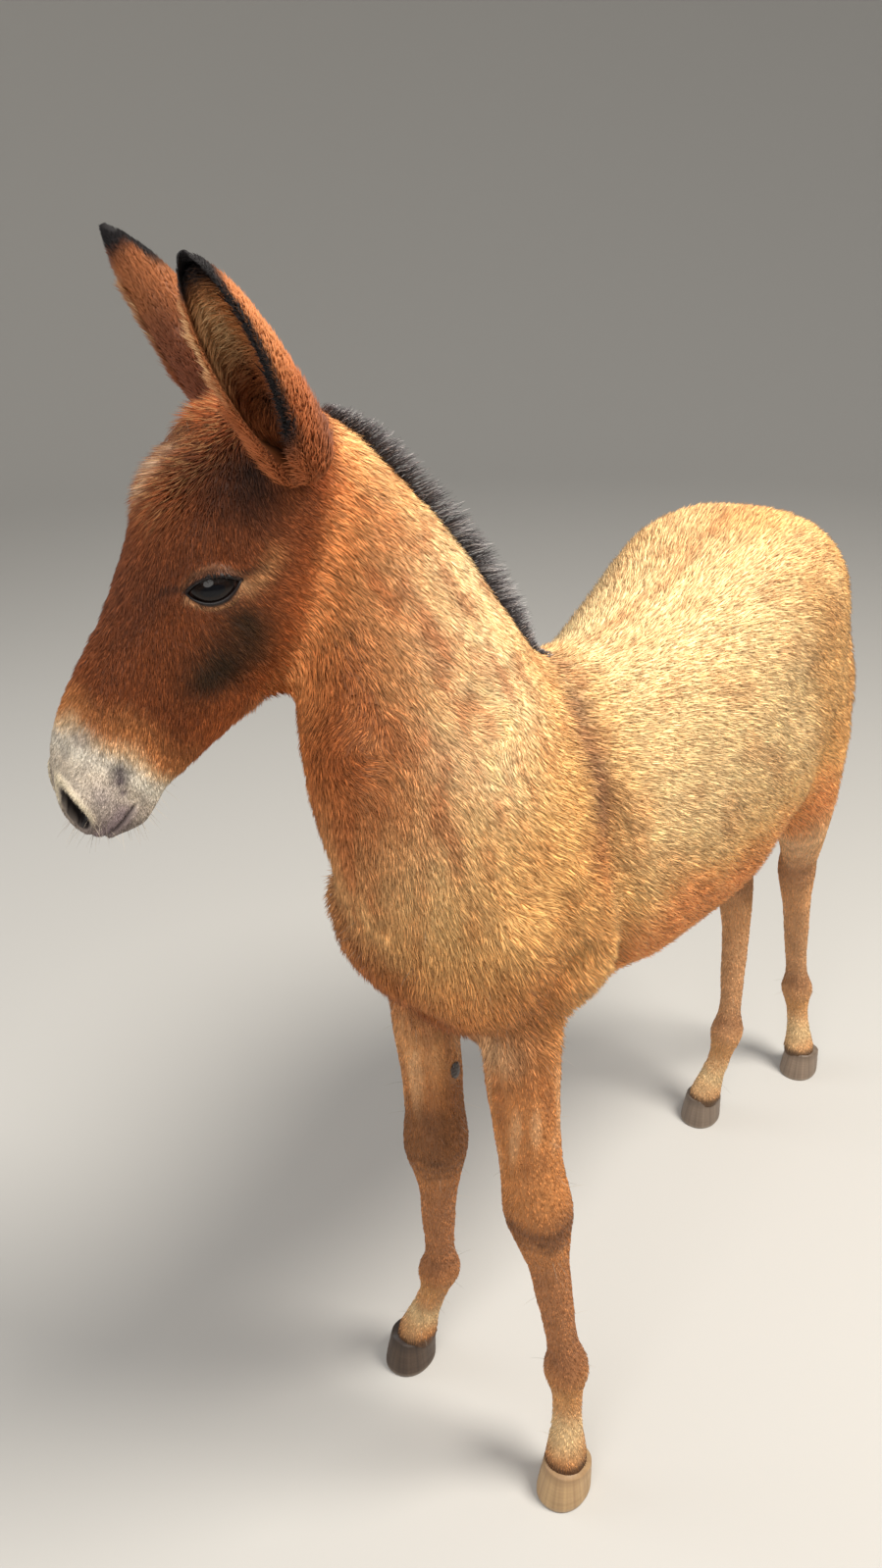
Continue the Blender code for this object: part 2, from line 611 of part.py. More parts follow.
def cut_mouth(head):
    """The line of the mouth: a groove of diamond profile round the muzzle."""
    tree = node_tree(head)
    hub = np.array((MOUTH_CORNER[0], 0.0, MOUTH_CORNER[2]))
    forward = np.array((MOUTH_FRONT[0], 0.0, MOUTH_FRONT[2])) - hub
    forward /= np.linalg.norm(forward)
    up = HEAD_AXES @ np.array((-forward[2], 0.0, forward[0]))
    start = in_head(hub)
    rows = []
    for angle in np.radians(np.linspace(-92, 92, 25)):
        ray = HEAD_AXES @ (forward * np.cos(angle) + np.array((0.0, 1.0, 0.0)) * np.sin(angle))
        hit = np.array(tree.ray_cast(start, ray)[0])
        rows.append((hit + 0.004 * ray, hit + 0.0017 * up, hit - MOUTH_DEPTH * ray, hit - 0.0017 * up))
    points = np.array(rows).reshape(-1, 3)
    faces = [(4 * i + j, 4 * i + (j + 1) % 4, 4 * i + 4 + (j + 1) % 4, 4 * i + 4 + j)
             for i in range(len(rows) - 1) for j in range(4)]
    end = 4 * (len(rows) - 1)
    faces += [(0, 1, 2, 3), (end, end + 1, end + 2, end + 3)]
    combine(head, "DIFFERENCE", [make_object("mouth", points, faces)])


def ear_frame(side):
    """Base, axis, the way the cup opens, and the way across it."""
    axis = HEAD_AXES @ np.array(EAR_AXIS[side])
    axis /= np.linalg.norm(axis)
    out = HEAD_AXES[:, 1] * side
    out = out - axis * out.dot(axis)
    out /= np.linalg.norm(out)
    front = np.cross(axis, out) * side
    front *= np.sign(front.dot(HEAD_AXES @ np.array((1.0, 0.0, 0.6))))
    turn = np.radians(EAR_TURN)
    opening = out * np.cos(turn) + front * np.sin(turn)
    return in_head((EAR_BASE[0], side * EAR_BASE[1], EAR_BASE[2])), axis, opening, np.cross(axis, opening)


def ear_shell(name, side):
    """A rolled leaf: arcs of radius r and half angle f that both change to the tip."""
    base, axis, opening, across = ear_frame(side)
    rows = smooth_rows(EAR_SHAPE, 2)
    v, radius, half_angle, wall = rows.T
    radius, wall = radius * EAR_LENGTH, wall * EAR_LENGTH
    centre = base + axis * (v * EAR_LENGTH)[:, None] + opening * (EAR_BEND * EAR_LENGTH * v**2)[:, None]
    spread = np.linspace(-1.0, 1.0, EAR_POINTS)
    angle = np.radians(half_angle)[:, None] * np.concatenate((spread, spread[::-1]))
    depth = np.repeat(np.stack((radius, radius - wall), axis=1), EAR_POINTS, axis=1)
    points = (centre[:, None, :] - opening * (depth * np.cos(angle))[..., None]
              + across * (depth * np.sin(angle))[..., None])
    count, sides = points.shape[:2]
    faces = [(i * sides + j, i * sides + (j + 1) % sides, (i + 1) * sides + (j + 1) % sides, (i + 1) * sides + j)
             for i in range(count - 1) for j in range(sides)]
    faces += [(j, j + 1, sides - 2 - j, sides - 1 - j) for j in range(EAR_POINTS - 1)]
    end = (count - 1) * sides
    faces += [(end + j, end + sides - 1 - j, end + sides - 2 - j, end + j + 1)
              for j in range(EAR_POINTS - 1)]
    return make_object(name, points.reshape(-1, 3), faces)


def hoof_rings(leg):
    """Front and back points of the sole, the wall's middle and the coronet."""
    left, forward, _ = LEG_LINES[leg][-1]
    rows = np.array([(forward + front, forward - back, low, high) for front, back, low, high, _ in HOOF])
    fronts = on_body(np.stack((np.full(len(rows), left), rows[:, 0], rows[:, 2]), axis=1))
    backs = on_body(np.stack((np.full(len(rows), left), rows[:, 1], rows[:, 3]), axis=1))
    return fronts, backs


def make_hoof(leg):
    fronts, backs = hoof_rings(leg)
    width = np.array([row[4] for row in HOOF]) * WITHERS_HEIGHT
    full = np.full(len(HOOF), 2.15)
    share = np.full(len(HOOF), 0.5)
    points, faces = loft(fronts, backs, width, share, full, full, 18)
    return make_object("hoof_" + leg, points, faces)


def cut_plane(cut):
    """A point of the cut, and its normal towards the head."""
    high, low = on_body(cut[:2])
    turn = np.radians(cut[2])
    normal = Vector(np.cross((np.cos(turn), -np.sin(turn), 0.0), low - high)).normalized()
    return Vector(high), -normal if normal.y > 0 else normal


def leg_parts(whole, leg):
    """Upper leg, shank and hoof of one leg, parted by flat cuts."""
    line = on_body(LEG_LINES[leg])
    front = leg.startswith("front")
    top = (FORELEG_CUT if front else HINDLEG_CUT) * WITHERS_HEIGHT
    middle = (KNEE_CUT if front else HOCK_CUT) * WITHERS_HEIGHT
    order = np.argsort(line[:, 2])
    margin = 0.03
    fronts, backs = hoof_rings(leg)
    coronet = fronts[-1] - backs[-1]
    sole_way = np.cross((1.0, 0.0, 0.0), coronet)
    sole_way = sole_way / np.linalg.norm(sole_way)
    sole_way *= -np.sign(sole_way[2])

    def beside(points, low, high, reach=0.16):
        x = np.interp(points[:, 2], line[order, 2], line[order, 0])
        y = np.interp(points[:, 2], line[order, 2], line[order, 1])
        near = (np.abs(points[:, 1] - y) < reach) & (np.abs(points[:, 0] - x) < 0.062)
        return near & (points[:, 2] > low) & (points[:, 2] < high)

    down, up = (0.0, 0.0, -1.0), (0.0, 0.0, 1.0)
    upper_name = ("forearm_" if front else "gaskin_") + leg
    upper = part_from(whole, upper_name, lambda p: beside(p, middle - margin, top + margin),
                      ((Vector((0, 0, top - GAP / 2)), Vector(up), everywhere),
                       (Vector((0, 0, middle + GAP / 2)), Vector(down), everywhere)), UPPER_LEG_FACES)
    seat = Vector(fronts[-1] - sole_way * GAP)
    shank = part_from(whole, "shank_" + leg, lambda p: beside(p, -1.0, middle + margin),
                      ((Vector((0, 0, middle - GAP / 2)), Vector(up), everywhere),
                       (seat, Vector(sole_way), everywhere)), SHANK_FACES)
    return upper, shank, make_hoof(leg)


def hair_lock(root, rise, lie, flat, length, width, thick, bend, wave, taper=0.6):
    """One flat, tapered lock that leaves the skin along rise and bends over to lie.

    With t from 0 at the skin to 1 at the tip, the middle runs along
    rise * (t - bend t^2 / 2) + lie * bend t^2 / 2, times the length, and swings
    sideways by wave * sin(3 pi t). The profile is a flat hexagon, width by thick,
    that shrinks with (1 - t)^taper.
    """
    t = np.linspace(-ROOT_DEPTH / length, 1.0, LOCK_RINGS)[:, None]
    over = np.maximum(t, 0.0)
    middle = root + length * (rise * (t - bend * over**2 / 2) + lie * bend * over**2 / 2)
    middle = middle + flat * wave * np.sin(3 * np.pi * over)
    run = np.gradient(middle, axis=0)
    run /= np.linalg.norm(run, axis=1)[:, None]
    across = flat - run * np.sum(flat * run, axis=1)[:, None]
    across /= np.linalg.norm(across, axis=1)[:, None]
    shrink = np.clip(1.0 - over, 0.04, 1.0) ** taper
    angle = np.linspace(0.0, 2 * np.pi, LOCK_SIDES, endpoint=False)
    side, up = np.cos(angle) * width / 2, np.sin(angle) * thick / 2
    points = (middle[:, None, :] + across[:, None, :] * (shrink * side)[..., None]
              + np.cross(run, across)[:, None, :] * (shrink * up)[..., None])
    ring = np.arange(LOCK_SIDES)
    after = np.roll(ring, -1)
    faces = [tuple(int(v) for v in quad) for i in range(LOCK_RINGS - 1) for quad in
             zip(i * LOCK_SIDES + ring, i * LOCK_SIDES + after,
                 (i + 1) * LOCK_SIDES + after, (i + 1) * LOCK_SIDES + ring)]
    faces += [tuple(range(LOCK_SIDES)), tuple(range((LOCK_RINGS - 1) * LOCK_SIDES, LOCK_RINGS * LOCK_SIDES))]
    return make_object("lock", points.reshape(-1, 3), faces)


def surface_below(tree, point, way):
    """The surface's place met from 0.06 outside the point, going inwards."""
    hit = tree.ray_cast(Vector(point + 0.06 * way), Vector(-way), 0.14)[0]
    return np.array(hit) if hit is not None else np.array(point)


def node_tree(thing):
    return mathutils.bvhtree.BVHTree.FromObject(thing, bpy.context.evaluated_depsgraph_get())


def mane_locks(neck, rng):
    """Two rows of short upright locks that lean apart and overlap along the crest."""
    tree = node_tree(neck)
    crest = smooth_rows(MANE, 12)
    spot = np.linspace(0.0, len(crest) - 1.0, 2 * MANE_LOCKS)
    rows = np.stack([np.interp(spot, np.arange(len(crest)), column) for column in crest.T], axis=1)
    roots = on_body(rows[:, :3])
    runs = np.gradient(roots, axis=0)
    runs /= np.linalg.norm(runs, axis=1)[:, None]
    locks = []
    for index, (root, run, length) in enumerate(zip(roots, runs, rows[:, 3] * WITHERS_HEIGHT)):
        left = np.cross(run, (0.0, 0.0, 1.0))
        left /= np.linalg.norm(left)
        up = np.cross(left, run)
        side = 1.0 if index % 2 else -1.0
        root = surface_below(tree, root + 0.004 * side * left, up)
        rise = up + 0.22 * side * left - 0.18 * run
        rise /= np.linalg.norm(rise)
        grown = length * rng.uniform(0.92, 1.06)
        wave = rng.uniform(-0.0012, 0.0012)
        locks.append(hair_lock(root, rise, -run, run, grown, 0.024, 0.0075, 0.30, wave, 0.36))
    return locks


def forelock_locks(head, rng):
    """Locks that leave the poll between the ears and lie down the forehead."""
    tree = node_tree(head)
    along, left, dorsal = HEAD_AXES.T
    locks = []
    for place, count in FORELOCK_ROWS:
        for step in range(count):
            sideways = (step - (count - 1) / 2) * 0.052 + rng.uniform(-0.006, 0.006)
            root = surface_below(tree, in_head((place, sideways, 0.0)), dorsal)
            rise = 0.72 * dorsal + 0.68 * along + 1.2 * sideways * left
            rise /= np.linalg.norm(rise)
            lie = along + 1.0 * sideways * left - 0.25 * dorsal
            locks.append(hair_lock(root, rise, lie, left, rng.uniform(0.034, 0.042), 0.020, 0.006, 1.0, 0.0))
    return locks


def tail_locks(dock, middle, rng):
    """Rows of long locks round the dock that hang, overlap and end in a tuft."""
    tree = node_tree(dock)
    locks = []
    for share, count, length in TAIL_ROWS:
        spot = share * (len(middle) - 1)
        place = np.array([np.interp(spot, np.arange(len(middle)), column) for column in middle.T])
        ahead = np.array([np.interp(spot + 0.5, np.arange(len(middle)), column) for column in middle.T])
        behind = np.array([np.interp(spot - 0.5, np.arange(len(middle)), column) for column in middle.T])
        down = (ahead - behind) / np.linalg.norm(ahead - behind)
        for step in range(count):
            turn = 2 * np.pi * (step + 0.5 * (share > 0.6)) / count + rng.uniform(-0.15, 0.15)
            back = np.cross((1.0, 0.0, 0.0), down)
            out = np.cos(turn) * np.array((1.0, 0.0, 0.0)) - np.sin(turn) * back
            root = surface_below(tree, place, out)
            rise = 0.42 * out + 0.90 * down
            lie = np.array((0.0, 0.0, -1.0)) - 0.16 * out
            flat = np.cross(down, out)
            grown = length * rng.uniform(0.92, 1.05)
            wave = rng.uniform(-0.002, 0.002)
            locks.append(hair_lock(root, rise, lie, flat, grown, 0.034, 0.013, 1.0, wave, 0.5))
    return locks


def dock_form(name):
    """The tail's dock, a round profile down its hanging line, and that line."""
    rows = smooth_rows(TAIL, 3)
    left, forward, up, radius = rows.T
    middle = on_body(np.stack((left, forward, up), axis=1))
    radius = radius * WITHERS_HEIGHT
    run = np.gradient(middle, axis=0)
    back = np.cross(run, (1.0, 0.0, 0.0))
    back /= np.linalg.norm(back, axis=1)[:, None]
    half = np.full(len(rows), 0.5)
    full = np.full(len(rows), 2.0)
    points, faces = loft(middle + back * radius[:, None], middle - back * radius[:, None], radius, half,
                         full, full, 10)
    return make_object(name, points, faces), middle


def paint(thing, kind):
    material = bpy.data.materials.get(kind) or bpy.data.materials.new(kind)
    material.use_nodes = True
    shader = material.node_tree.nodes["Principled BSDF"]
    shader.inputs["Base Color"].default_value = COLOURS[kind]
    shader.inputs["Roughness"].default_value = ROUGHNESS[kind]
    shader.inputs["Metallic"].default_value = 0.0
    thing.data.materials.clear()
    thing.data.materials.append(material)


def centre_on_floor(things):
    """Put the origin at the middle of the foot of the whole model's box."""
    corners = np.array([(read_points(t.data).min(axis=0), read_points(t.data).max(axis=0)) for t in things])
    low, high = corners[:, 0].min(axis=0), corners[:, 1].max(axis=0)
    middle = np.array((low[0] + high[0], low[1] + high[1], 2 * low[2])) / 2
    for thing in things:
        thing.data.vertices.foreach_set("co", (read_points(thing.data) - middle).ravel())
        thing.data.update()


def main():
    for old in list(bpy.data.objects):
        bpy.data.objects.remove(old)
    whole = fuse_flesh()
    kinds = {}

    neck_point, neck_way = cut_plane(NECK_CUT)
    head_point, head_way = cut_plane(HEAD_CUT)

    def past_neck(points):
        return (points - np.array(neck_point)) @ np.array(neck_way)

    def past_head(points):
        return (points - np.array(head_point)) @ np.array(head_way)

    foreleg, hindleg = FORELEG_CUT * WITHERS_HEIGHT, HINDLEG_CUT * WITHERS_HEIGHT
    divide = 0.26 * WITHERS_HEIGHT

    def in_torso(points):
        low = np.where(points[:, 1] > divide, hindleg, foreleg) - 0.02
        return (past_neck(points) < 0.03) & (points[:, 2] > low)

    torso = part_from(whole, "torso", in_torso, (
        (neck_point - neck_way * GAP / 2, neck_way, everywhere),
        (Vector((0, 0, foreleg + GAP / 2)), Vector((0, 0, -1)), lambda c: c.y < divide),
        (Vector((0, 0, hindleg + GAP / 2)), Vector((0, 0, -1)), lambda c: c.y > divide),
    ), TORSO_FACES)
    neck = part_from(whole, "neck", lambda p: (past_neck(p) > -0.03) & (past_head(p) < 0.03), (
        (neck_point + neck_way * GAP / 2, -neck_way, everywhere),
        (head_point - head_way * GAP / 2, head_way, everywhere),
    ), NECK_FACES)
    head = part_from(whole, "head", lambda p: (past_head(p) > -0.03) & (p[:, 2] > 0.7), (
        (head_point + head_way * GAP / 2, -head_way, everywhere),
    ), HEAD_FACES)
    kinds.update({torso: "coat", neck: "coat", head: "head"})

    for leg in LEG_LINES:
        upper, shank, hoof = leg_parts(whole, leg)
        kinds.update({upper: "leg", shank: "leg", hoof: "hoof"})

    cut_mouth(head)
    cut_nostrils(head)
    for side, word in ((1, "left"), (-1, "right")):
        kinds[dress_eye(head, side, "eye_" + word)] = "eye"
    for side, word in ((1, "left"), (-1, "right")):
        ear = ear_shell("ear_" + word, side)
        combine(ear, "DIFFERENCE", [grown_copy(head, SEAT_GAP), grown_copy(neck, SEAT_GAP)])
        kinds[ear] = "head"

    rng = np.random.default_rng(SEED)
    combine(neck, "UNION", mane_locks(neck, rng))
    combine(head, "UNION", forelock_locks(head, rng))
    tail, middle = dock_form("tail")
    combine(tail, "UNION", tail_locks(tail, middle, rng))
    combine(tail, "DIFFERENCE", [grown_copy(torso, SEAT_GAP)])
    kinds[tail] = "hair"

    bpy.data.objects.remove(whole)
    centre_on_floor(list(kinds))
    for thing, kind in kinds.items():
        paint(thing, kind)
        thing.data.shade_smooth()


main()
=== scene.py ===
# %% [markdown]
# A mule foal, as a life-size model such as a museum shows. This script dresses the
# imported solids: one skin over the whole body, a coat of small mesh tufts, mane,
# forelock and tail of real strands, eyes, ears and hooves.

import bpy
import bmesh
import numpy as np
from mathutils import Matrix, Vector
from mathutils.bvhtree import BVHTree


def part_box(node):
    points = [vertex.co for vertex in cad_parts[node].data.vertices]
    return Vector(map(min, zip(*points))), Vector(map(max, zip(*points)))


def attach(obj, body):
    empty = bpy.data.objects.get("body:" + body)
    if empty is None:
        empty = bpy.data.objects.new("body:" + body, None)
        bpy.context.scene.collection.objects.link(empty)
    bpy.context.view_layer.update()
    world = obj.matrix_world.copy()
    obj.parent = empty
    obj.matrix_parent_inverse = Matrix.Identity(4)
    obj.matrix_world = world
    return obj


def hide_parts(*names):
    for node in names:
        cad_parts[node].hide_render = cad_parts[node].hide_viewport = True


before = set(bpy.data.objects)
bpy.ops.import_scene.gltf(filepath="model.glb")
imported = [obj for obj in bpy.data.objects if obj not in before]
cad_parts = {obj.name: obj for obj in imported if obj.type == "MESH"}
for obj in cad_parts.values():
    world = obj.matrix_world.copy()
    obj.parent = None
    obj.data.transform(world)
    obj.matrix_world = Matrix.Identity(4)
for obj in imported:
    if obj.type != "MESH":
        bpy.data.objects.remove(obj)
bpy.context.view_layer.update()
rng = np.random.default_rng(11)

# %% [markdown]
# The body is described by stations: at a place along the body, the top point, the
# bottom point and the half width. All are parts of the withers height, in an own
# table frame: left, forward and up. The last columns give how full the profile is
# above and below, where 2 is an ellipse and more is boxier. The same tables made the
# solids.

# %% Driving sizes and stations
WITHERS_HEIGHT = 1.0
HEAD_LENGTH = 0.396
EAR_LENGTH = 0.235
EYE_RADIUS = 0.0205
POLL = np.array((-0.1615, -0.4402, 1.2462)) * WITHERS_HEIGHT
HEAD_TURN = 27.6
HEAD_DROP = 55.7
HEAD_ROLL = 1.9
SIDES = {"left": 1, "right": -1}

# forward, left, top, widest, bottom, half width, fullness above and below
TORSO = (
    (0.420, 0.000, 0.755, 0.722, 0.692, 0.030, 2.0, 2.0),
    (0.402, 0.000, 0.805, 0.728, 0.666, 0.074, 2.0, 2.2),
    (0.352, 0.000, 0.875, 0.732, 0.612, 0.112, 1.9, 2.2),
    (0.270, 0.000, 0.950, 0.735, 0.580, 0.126, 1.7, 2.3),
    (0.172, 0.000, 0.988, 0.740, 0.580, 0.133, 1.6, 2.2),
    (0.060, 0.002, 0.974, 0.750, 0.576, 0.143, 1.9, 2.1),
    (-0.070, 0.002, 0.998, 0.785, 0.566, 0.151, 2.4, 2.3),
    (-0.190, 0.002, 1.038, 0.825, 0.584, 0.153, 2.9, 2.9),
    (-0.290, 0.003, 1.044, 0.860, 0.628, 0.146, 3.0, 2.9),
    (-0.380, 0.004, 1.011, 0.855, 0.690, 0.124, 2.7, 2.3),
    (-0.450, 0.005, 0.951, 0.845, 0.742, 0.096, 2.3, 2.1),
    (-0.494, 0.006, 0.885, 0.820, 0.772, 0.058, 2.0, 2.0),
    (-0.514, 0.006, 0.830, 0.805, 0.785, 0.026, 2.0, 2.0),
)
# top point, bottom point, half width, share at which it is widest, fullness twice
NECK = (
    (0.000, 0.090, 0.965, 0.000, 0.340, 0.660, 0.100, 0.45, 1.7, 2.1),
    (0.000, 0.188, 0.988, -0.006, 0.415, 0.715, 0.096, 0.42, 1.6, 2.2),
    (-0.010, 0.238, 1.048, -0.036, 0.448, 0.805, 0.080, 0.42, 1.6, 2.2),
    (-0.042, 0.272, 1.122, -0.075, 0.450, 0.890, 0.067, 0.44, 1.7, 2.2),
    (-0.085, 0.304, 1.186, -0.108, 0.430, 0.975, 0.060, 0.47, 1.9, 2.1),
    (-0.122, 0.346, 1.234, -0.130, 0.405, 1.045, 0.057, 0.50, 2.0, 2.0),
    (-0.150, 0.400, 1.256, -0.142, 0.412, 1.062, 0.056, 0.50, 2.1, 2.0),
    (-0.178, 0.458, 1.236, -0.158, 0.440, 1.070, 0.050, 0.50, 2.1, 2.0),
)
# in head lengths: along, top, bottom, half width, share at which it is widest, fullness twice
HEAD = (
    (-0.060, -0.040, -0.230, 0.100, 0.55, 2.0, 2.0),
    (0.000, -0.004, -0.330, 0.138, 0.60, 2.1, 2.0),
    (0.080, 0.012, -0.405, 0.162, 0.62, 2.2, 2.1),
    (0.190, 0.044, -0.448, 0.180, 0.62, 2.3, 2.2),
    (0.310, 0.036, -0.470, 0.182, 0.60, 2.3, 2.4),
    (0.430, 0.018, -0.466, 0.156, 0.56, 2.2, 2.5),
    (0.530, 0.006, -0.420, 0.130, 0.56, 2.1, 2.4),
    (0.640, 0.004, -0.372, 0.110, 0.56, 2.1, 2.2),
    (0.750, -0.004, -0.335, 0.102, 0.52, 2.2, 2.1),
    (0.840, -0.026, -0.306, 0.106, 0.50, 2.3, 2.2),
    (0.915, -0.070, -0.288, 0.100, 0.50, 2.3, 2.3),
    (0.965, -0.118, -0.258, 0.076, 0.50, 2.2, 2.2),
    (0.990, -0.160, -0.220, 0.036, 0.50, 2.0, 2.0),
)
# height, reach to the front and to the back of the bone line, half width, fullness
FETLOCK = (
    (0.158, 0.023, 0.029, 0.0240, 2.1),
    (0.122, 0.019, 0.022, 0.0200, 2.0),
    (0.085, 0.021, 0.021, 0.0210, 2.0),
)
FORELEG_SHAPE = (
    (0.740, 0.060, 0.052, 0.034, 2.0),
    (0.640, 0.064, 0.041, 0.044, 2.0),
    (0.560, 0.052, 0.035, 0.042, 2.0),
    (0.490, 0.042, 0.037, 0.037, 2.0),
    (0.430, 0.036, 0.034, 0.034, 2.1),
    (0.388, 0.035, 0.031, 0.033, 2.3),
    (0.352, 0.027, 0.027, 0.028, 2.2),
    (0.310, 0.018, 0.023, 0.0185, 2.0),
    (0.250, 0.017, 0.022, 0.0170, 2.0),
    (0.195, 0.019, 0.024, 0.0185, 2.0),
    *FETLOCK,
    (0.050, 0.029, 0.026, 0.0265, 2.1),
    (0.030, 0.031, 0.026, 0.0275, 2.1),
)
HINDLEG_SHAPE = (
    (0.900, 0.080, 0.090, 0.046, 2.0),
    (0.800, 0.116, 0.118, 0.058, 2.1),
    (0.720, 0.132, 0.096, 0.058, 2.1),
    (0.650, 0.122, 0.068, 0.052, 2.0),
    (0.580, 0.084, 0.056, 0.041, 2.0),
    (0.520, 0.048, 0.052, 0.034, 2.0),
    (0.465, 0.034, 0.044, 0.026, 2.0),
    (0.425, 0.034, 0.040, 0.027, 2.2),
    (0.380, 0.027, 0.029, 0.024, 2.1),
    (0.325, 0.019, 0.022, 0.0185, 2.0),
    (0.250, 0.018, 0.020, 0.0170, 2.0),
    (0.195, 0.020, 0.023, 0.0185, 2.0),
    *FETLOCK,
    (0.050, 0.028, 0.026, 0.0265, 2.1),
    (0.030, 0.030, 0.026, 0.0275, 2.1),
)
# left, forward and up of places down the bone line
LEG_LINES = {
    "front_left": ((0.052, 0.270, 0.740), (0.064, 0.297, 0.600), (0.080, 0.312, 0.490),
                   (0.098, 0.315, 0.388), (0.115, 0.309, 0.270), (0.131, 0.303, 0.152),
                   (0.145, 0.320, 0.060), (0.150, 0.330, 0.000)),
    "front_right": ((-0.072, 0.255, 0.740), (-0.078, 0.275, 0.600), (-0.066, 0.290, 0.490),
                    (-0.060, 0.294, 0.380), (-0.068, 0.286, 0.270), (-0.080, 0.273, 0.152),
                    (-0.103, 0.284, 0.060), (-0.112, 0.294, 0.000)),
    "hind_left": ((0.074, -0.345, 0.900), (0.080, -0.368, 0.760), (0.084, -0.392, 0.620),
                  (0.064, -0.458, 0.500), (0.046, -0.508, 0.428), (0.044, -0.546, 0.300),
                  (0.046, -0.582, 0.152), (0.062, -0.578, 0.060), (0.068, -0.578, 0.000)),
    "hind_right": ((-0.066, -0.345, 0.900), (-0.072, -0.364, 0.760), (-0.066, -0.366, 0.620),
                   (-0.036, -0.400, 0.500), (-0.016, -0.422, 0.400), (-0.004, -0.412, 0.300),
                   (0.002, -0.396, 0.152), (-0.010, -0.370, 0.060), (-0.016, -0.366, 0.000)),
}
# toe, heel, their heights, half width
HOOF = (
    (0.037, 0.034, 0.000, 0.000, 0.0300),
    (0.033, 0.035, 0.018, 0.014, 0.0288),
    (0.024, 0.037, 0.046, 0.034, 0.0265),
)
print("metres of the withers height, the head and the ear:", WITHERS_HEIGHT, HEAD_LENGTH, EAR_LENGTH)

# %% [markdown]
# The tables are about the body's middle line, and the frame's origin is at the middle
# of the foot of the whole box. One hoof tells how far apart the two are, so the shift
# is measured and nothing is fitted by eye.

# %% Table frame and world
def on_body(points):
    """Rows of left, forward, up in withers heights, as table places: y is minus forward."""
    return np.asarray(points, float) * WITHERS_HEIGHT * (1.0, -1.0, 1.0)


hoof_low, hoof_high = (np.array(corner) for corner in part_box("hoof_front_left"))
toe, heel = HOOF[0][0], HOOF[0][1]
hoof_left, hoof_forward, _ = LEG_LINES["front_left"][-1]
SHIFT = np.array((
    (hoof_low[0] + hoof_high[0]) / 2 - hoof_left * WITHERS_HEIGHT,
    hoof_low[1] + (hoof_forward + toe) * WITHERS_HEIGHT,
    0.0,
))
print("shift from the table frame to the world:", SHIFT.round(4))


def head_axes():
    """Columns are the head's own directions: poll to muzzle, left, and dorsal."""
    turn, drop, roll = np.radians((HEAD_TURN, HEAD_DROP, HEAD_ROLL))
    along = np.array((-np.sin(turn) * np.cos(drop), -np.cos(turn) * np.cos(drop), -np.sin(drop)))
    level = np.array((np.cos(turn), -np.sin(turn), 0.0))
    left = level * np.cos(roll) + np.cross(along, level) * np.sin(roll)
    return np.stack((along, left, np.cross(along, left)), axis=1)


HEAD_AXES = head_axes()


def in_head(points):
    """Head places, given in parts of the head length, as table places."""
    return POLL + HEAD_LENGTH * np.asarray(points, float) @ HEAD_AXES.T


def to_head(points):
    """Table places as head places, in parts of the head length."""
    return (np.asarray(points) - POLL) @ HEAD_AXES / HEAD_LENGTH

# %% [markdown]
# A loft carries a profile along a path. Both are computed for all rings at once, so a
# ring is one row of an array and no loop runs over the points.

# %% Lofts
def smooth_rows(rows, steps):
    """Cubic curve through the rows, each column alike, steps points a stretch."""
    rows = np.asarray(rows, float)
    slope = np.gradient(rows, axis=0)
    t = np.tile(np.linspace(0.0, 1.0, steps, endpoint=False), len(rows) - 1)[:, None]
    low = np.repeat(np.arange(len(rows) - 1), steps)
    curve = ((2 * t**3 - 3 * t**2 + 1) * rows[low] + (t**3 - 2 * t**2 + t) * slope[low]
             + (3 * t**2 - 2 * t**3) * rows[low + 1] + (t**3 - t**2) * slope[low + 1])
    return np.vstack((curve, rows[-1:]))


def grid_faces(rings, sides):
    """Four-cornered faces between neighbouring closed rings of a grid of points."""
    across = np.arange(sides)
    low = (np.arange(rings - 1) * sides)[:, None]
    after = (across + 1) % sides
    corners = (low + across, low + after, low + sides + after, low + sides + across)
    return np.stack(corners, axis=-1).reshape(-1, 4)


def end_faces(rings, sides, low_first=True):
    """Three-cornered faces that close a grid with one middle point at either end.

    The two middle points follow the grid's own. With low_first the first ring is
    taken forwards and the last one backwards, else the other way round.
    """
    order = np.arange(sides)[::1 if low_first else -1]
    caps = []
    for number, ring in enumerate((order, order[::-1] + (rings - 1) * sides)):
        middle = np.full(sides, rings * sides + number)
        caps.append(np.stack((middle, np.roll(ring, -1), ring), axis=1))
    return np.vstack(caps)


def loft(tops, bottoms, width, widest, full_top, full_bottom, sides):
    """Points, quads and triangles of a superellipse profile carried along a path.

    Sideways a point stands at width * |cos|^(2/n), and towards the top or bottom
    point at |sin|^(2/n) of the way, n being that half's fullness.
    """
    centre = bottoms + widest[:, None] * (tops - bottoms)
    side = np.cross(np.gradient(centre, axis=0), tops - bottoms)
    side /= np.linalg.norm(side, axis=1)[:, None]
    angle = np.linspace(0.0, 2 * np.pi, sides, endpoint=False)
    cos, sin = np.cos(angle), np.sin(angle)
    power = 2.0 / np.where(sin > 0, full_top[:, None], full_bottom[:, None])
    across = width[:, None] * np.sign(cos) * np.abs(cos) ** power
    rise = np.abs(sin) ** power
    above, below = (tops - centre)[:, None, :], (bottoms - centre)[:, None, :]
    reach = np.where((sin > 0)[None, :, None], above, below)
    points = centre[:, None, :] + side[:, None, :] * across[..., None] + reach * rise[..., None]
    points = np.vstack((points.reshape(-1, 3), centre[:1], centre[-1:]))
    return points, grid_faces(len(centre), sides), end_faces(len(centre), sides)


def rows_of(*columns):
    """Columns side by side, so that each row is one place."""
    return np.stack(np.broadcast_arrays(*columns), axis=1)


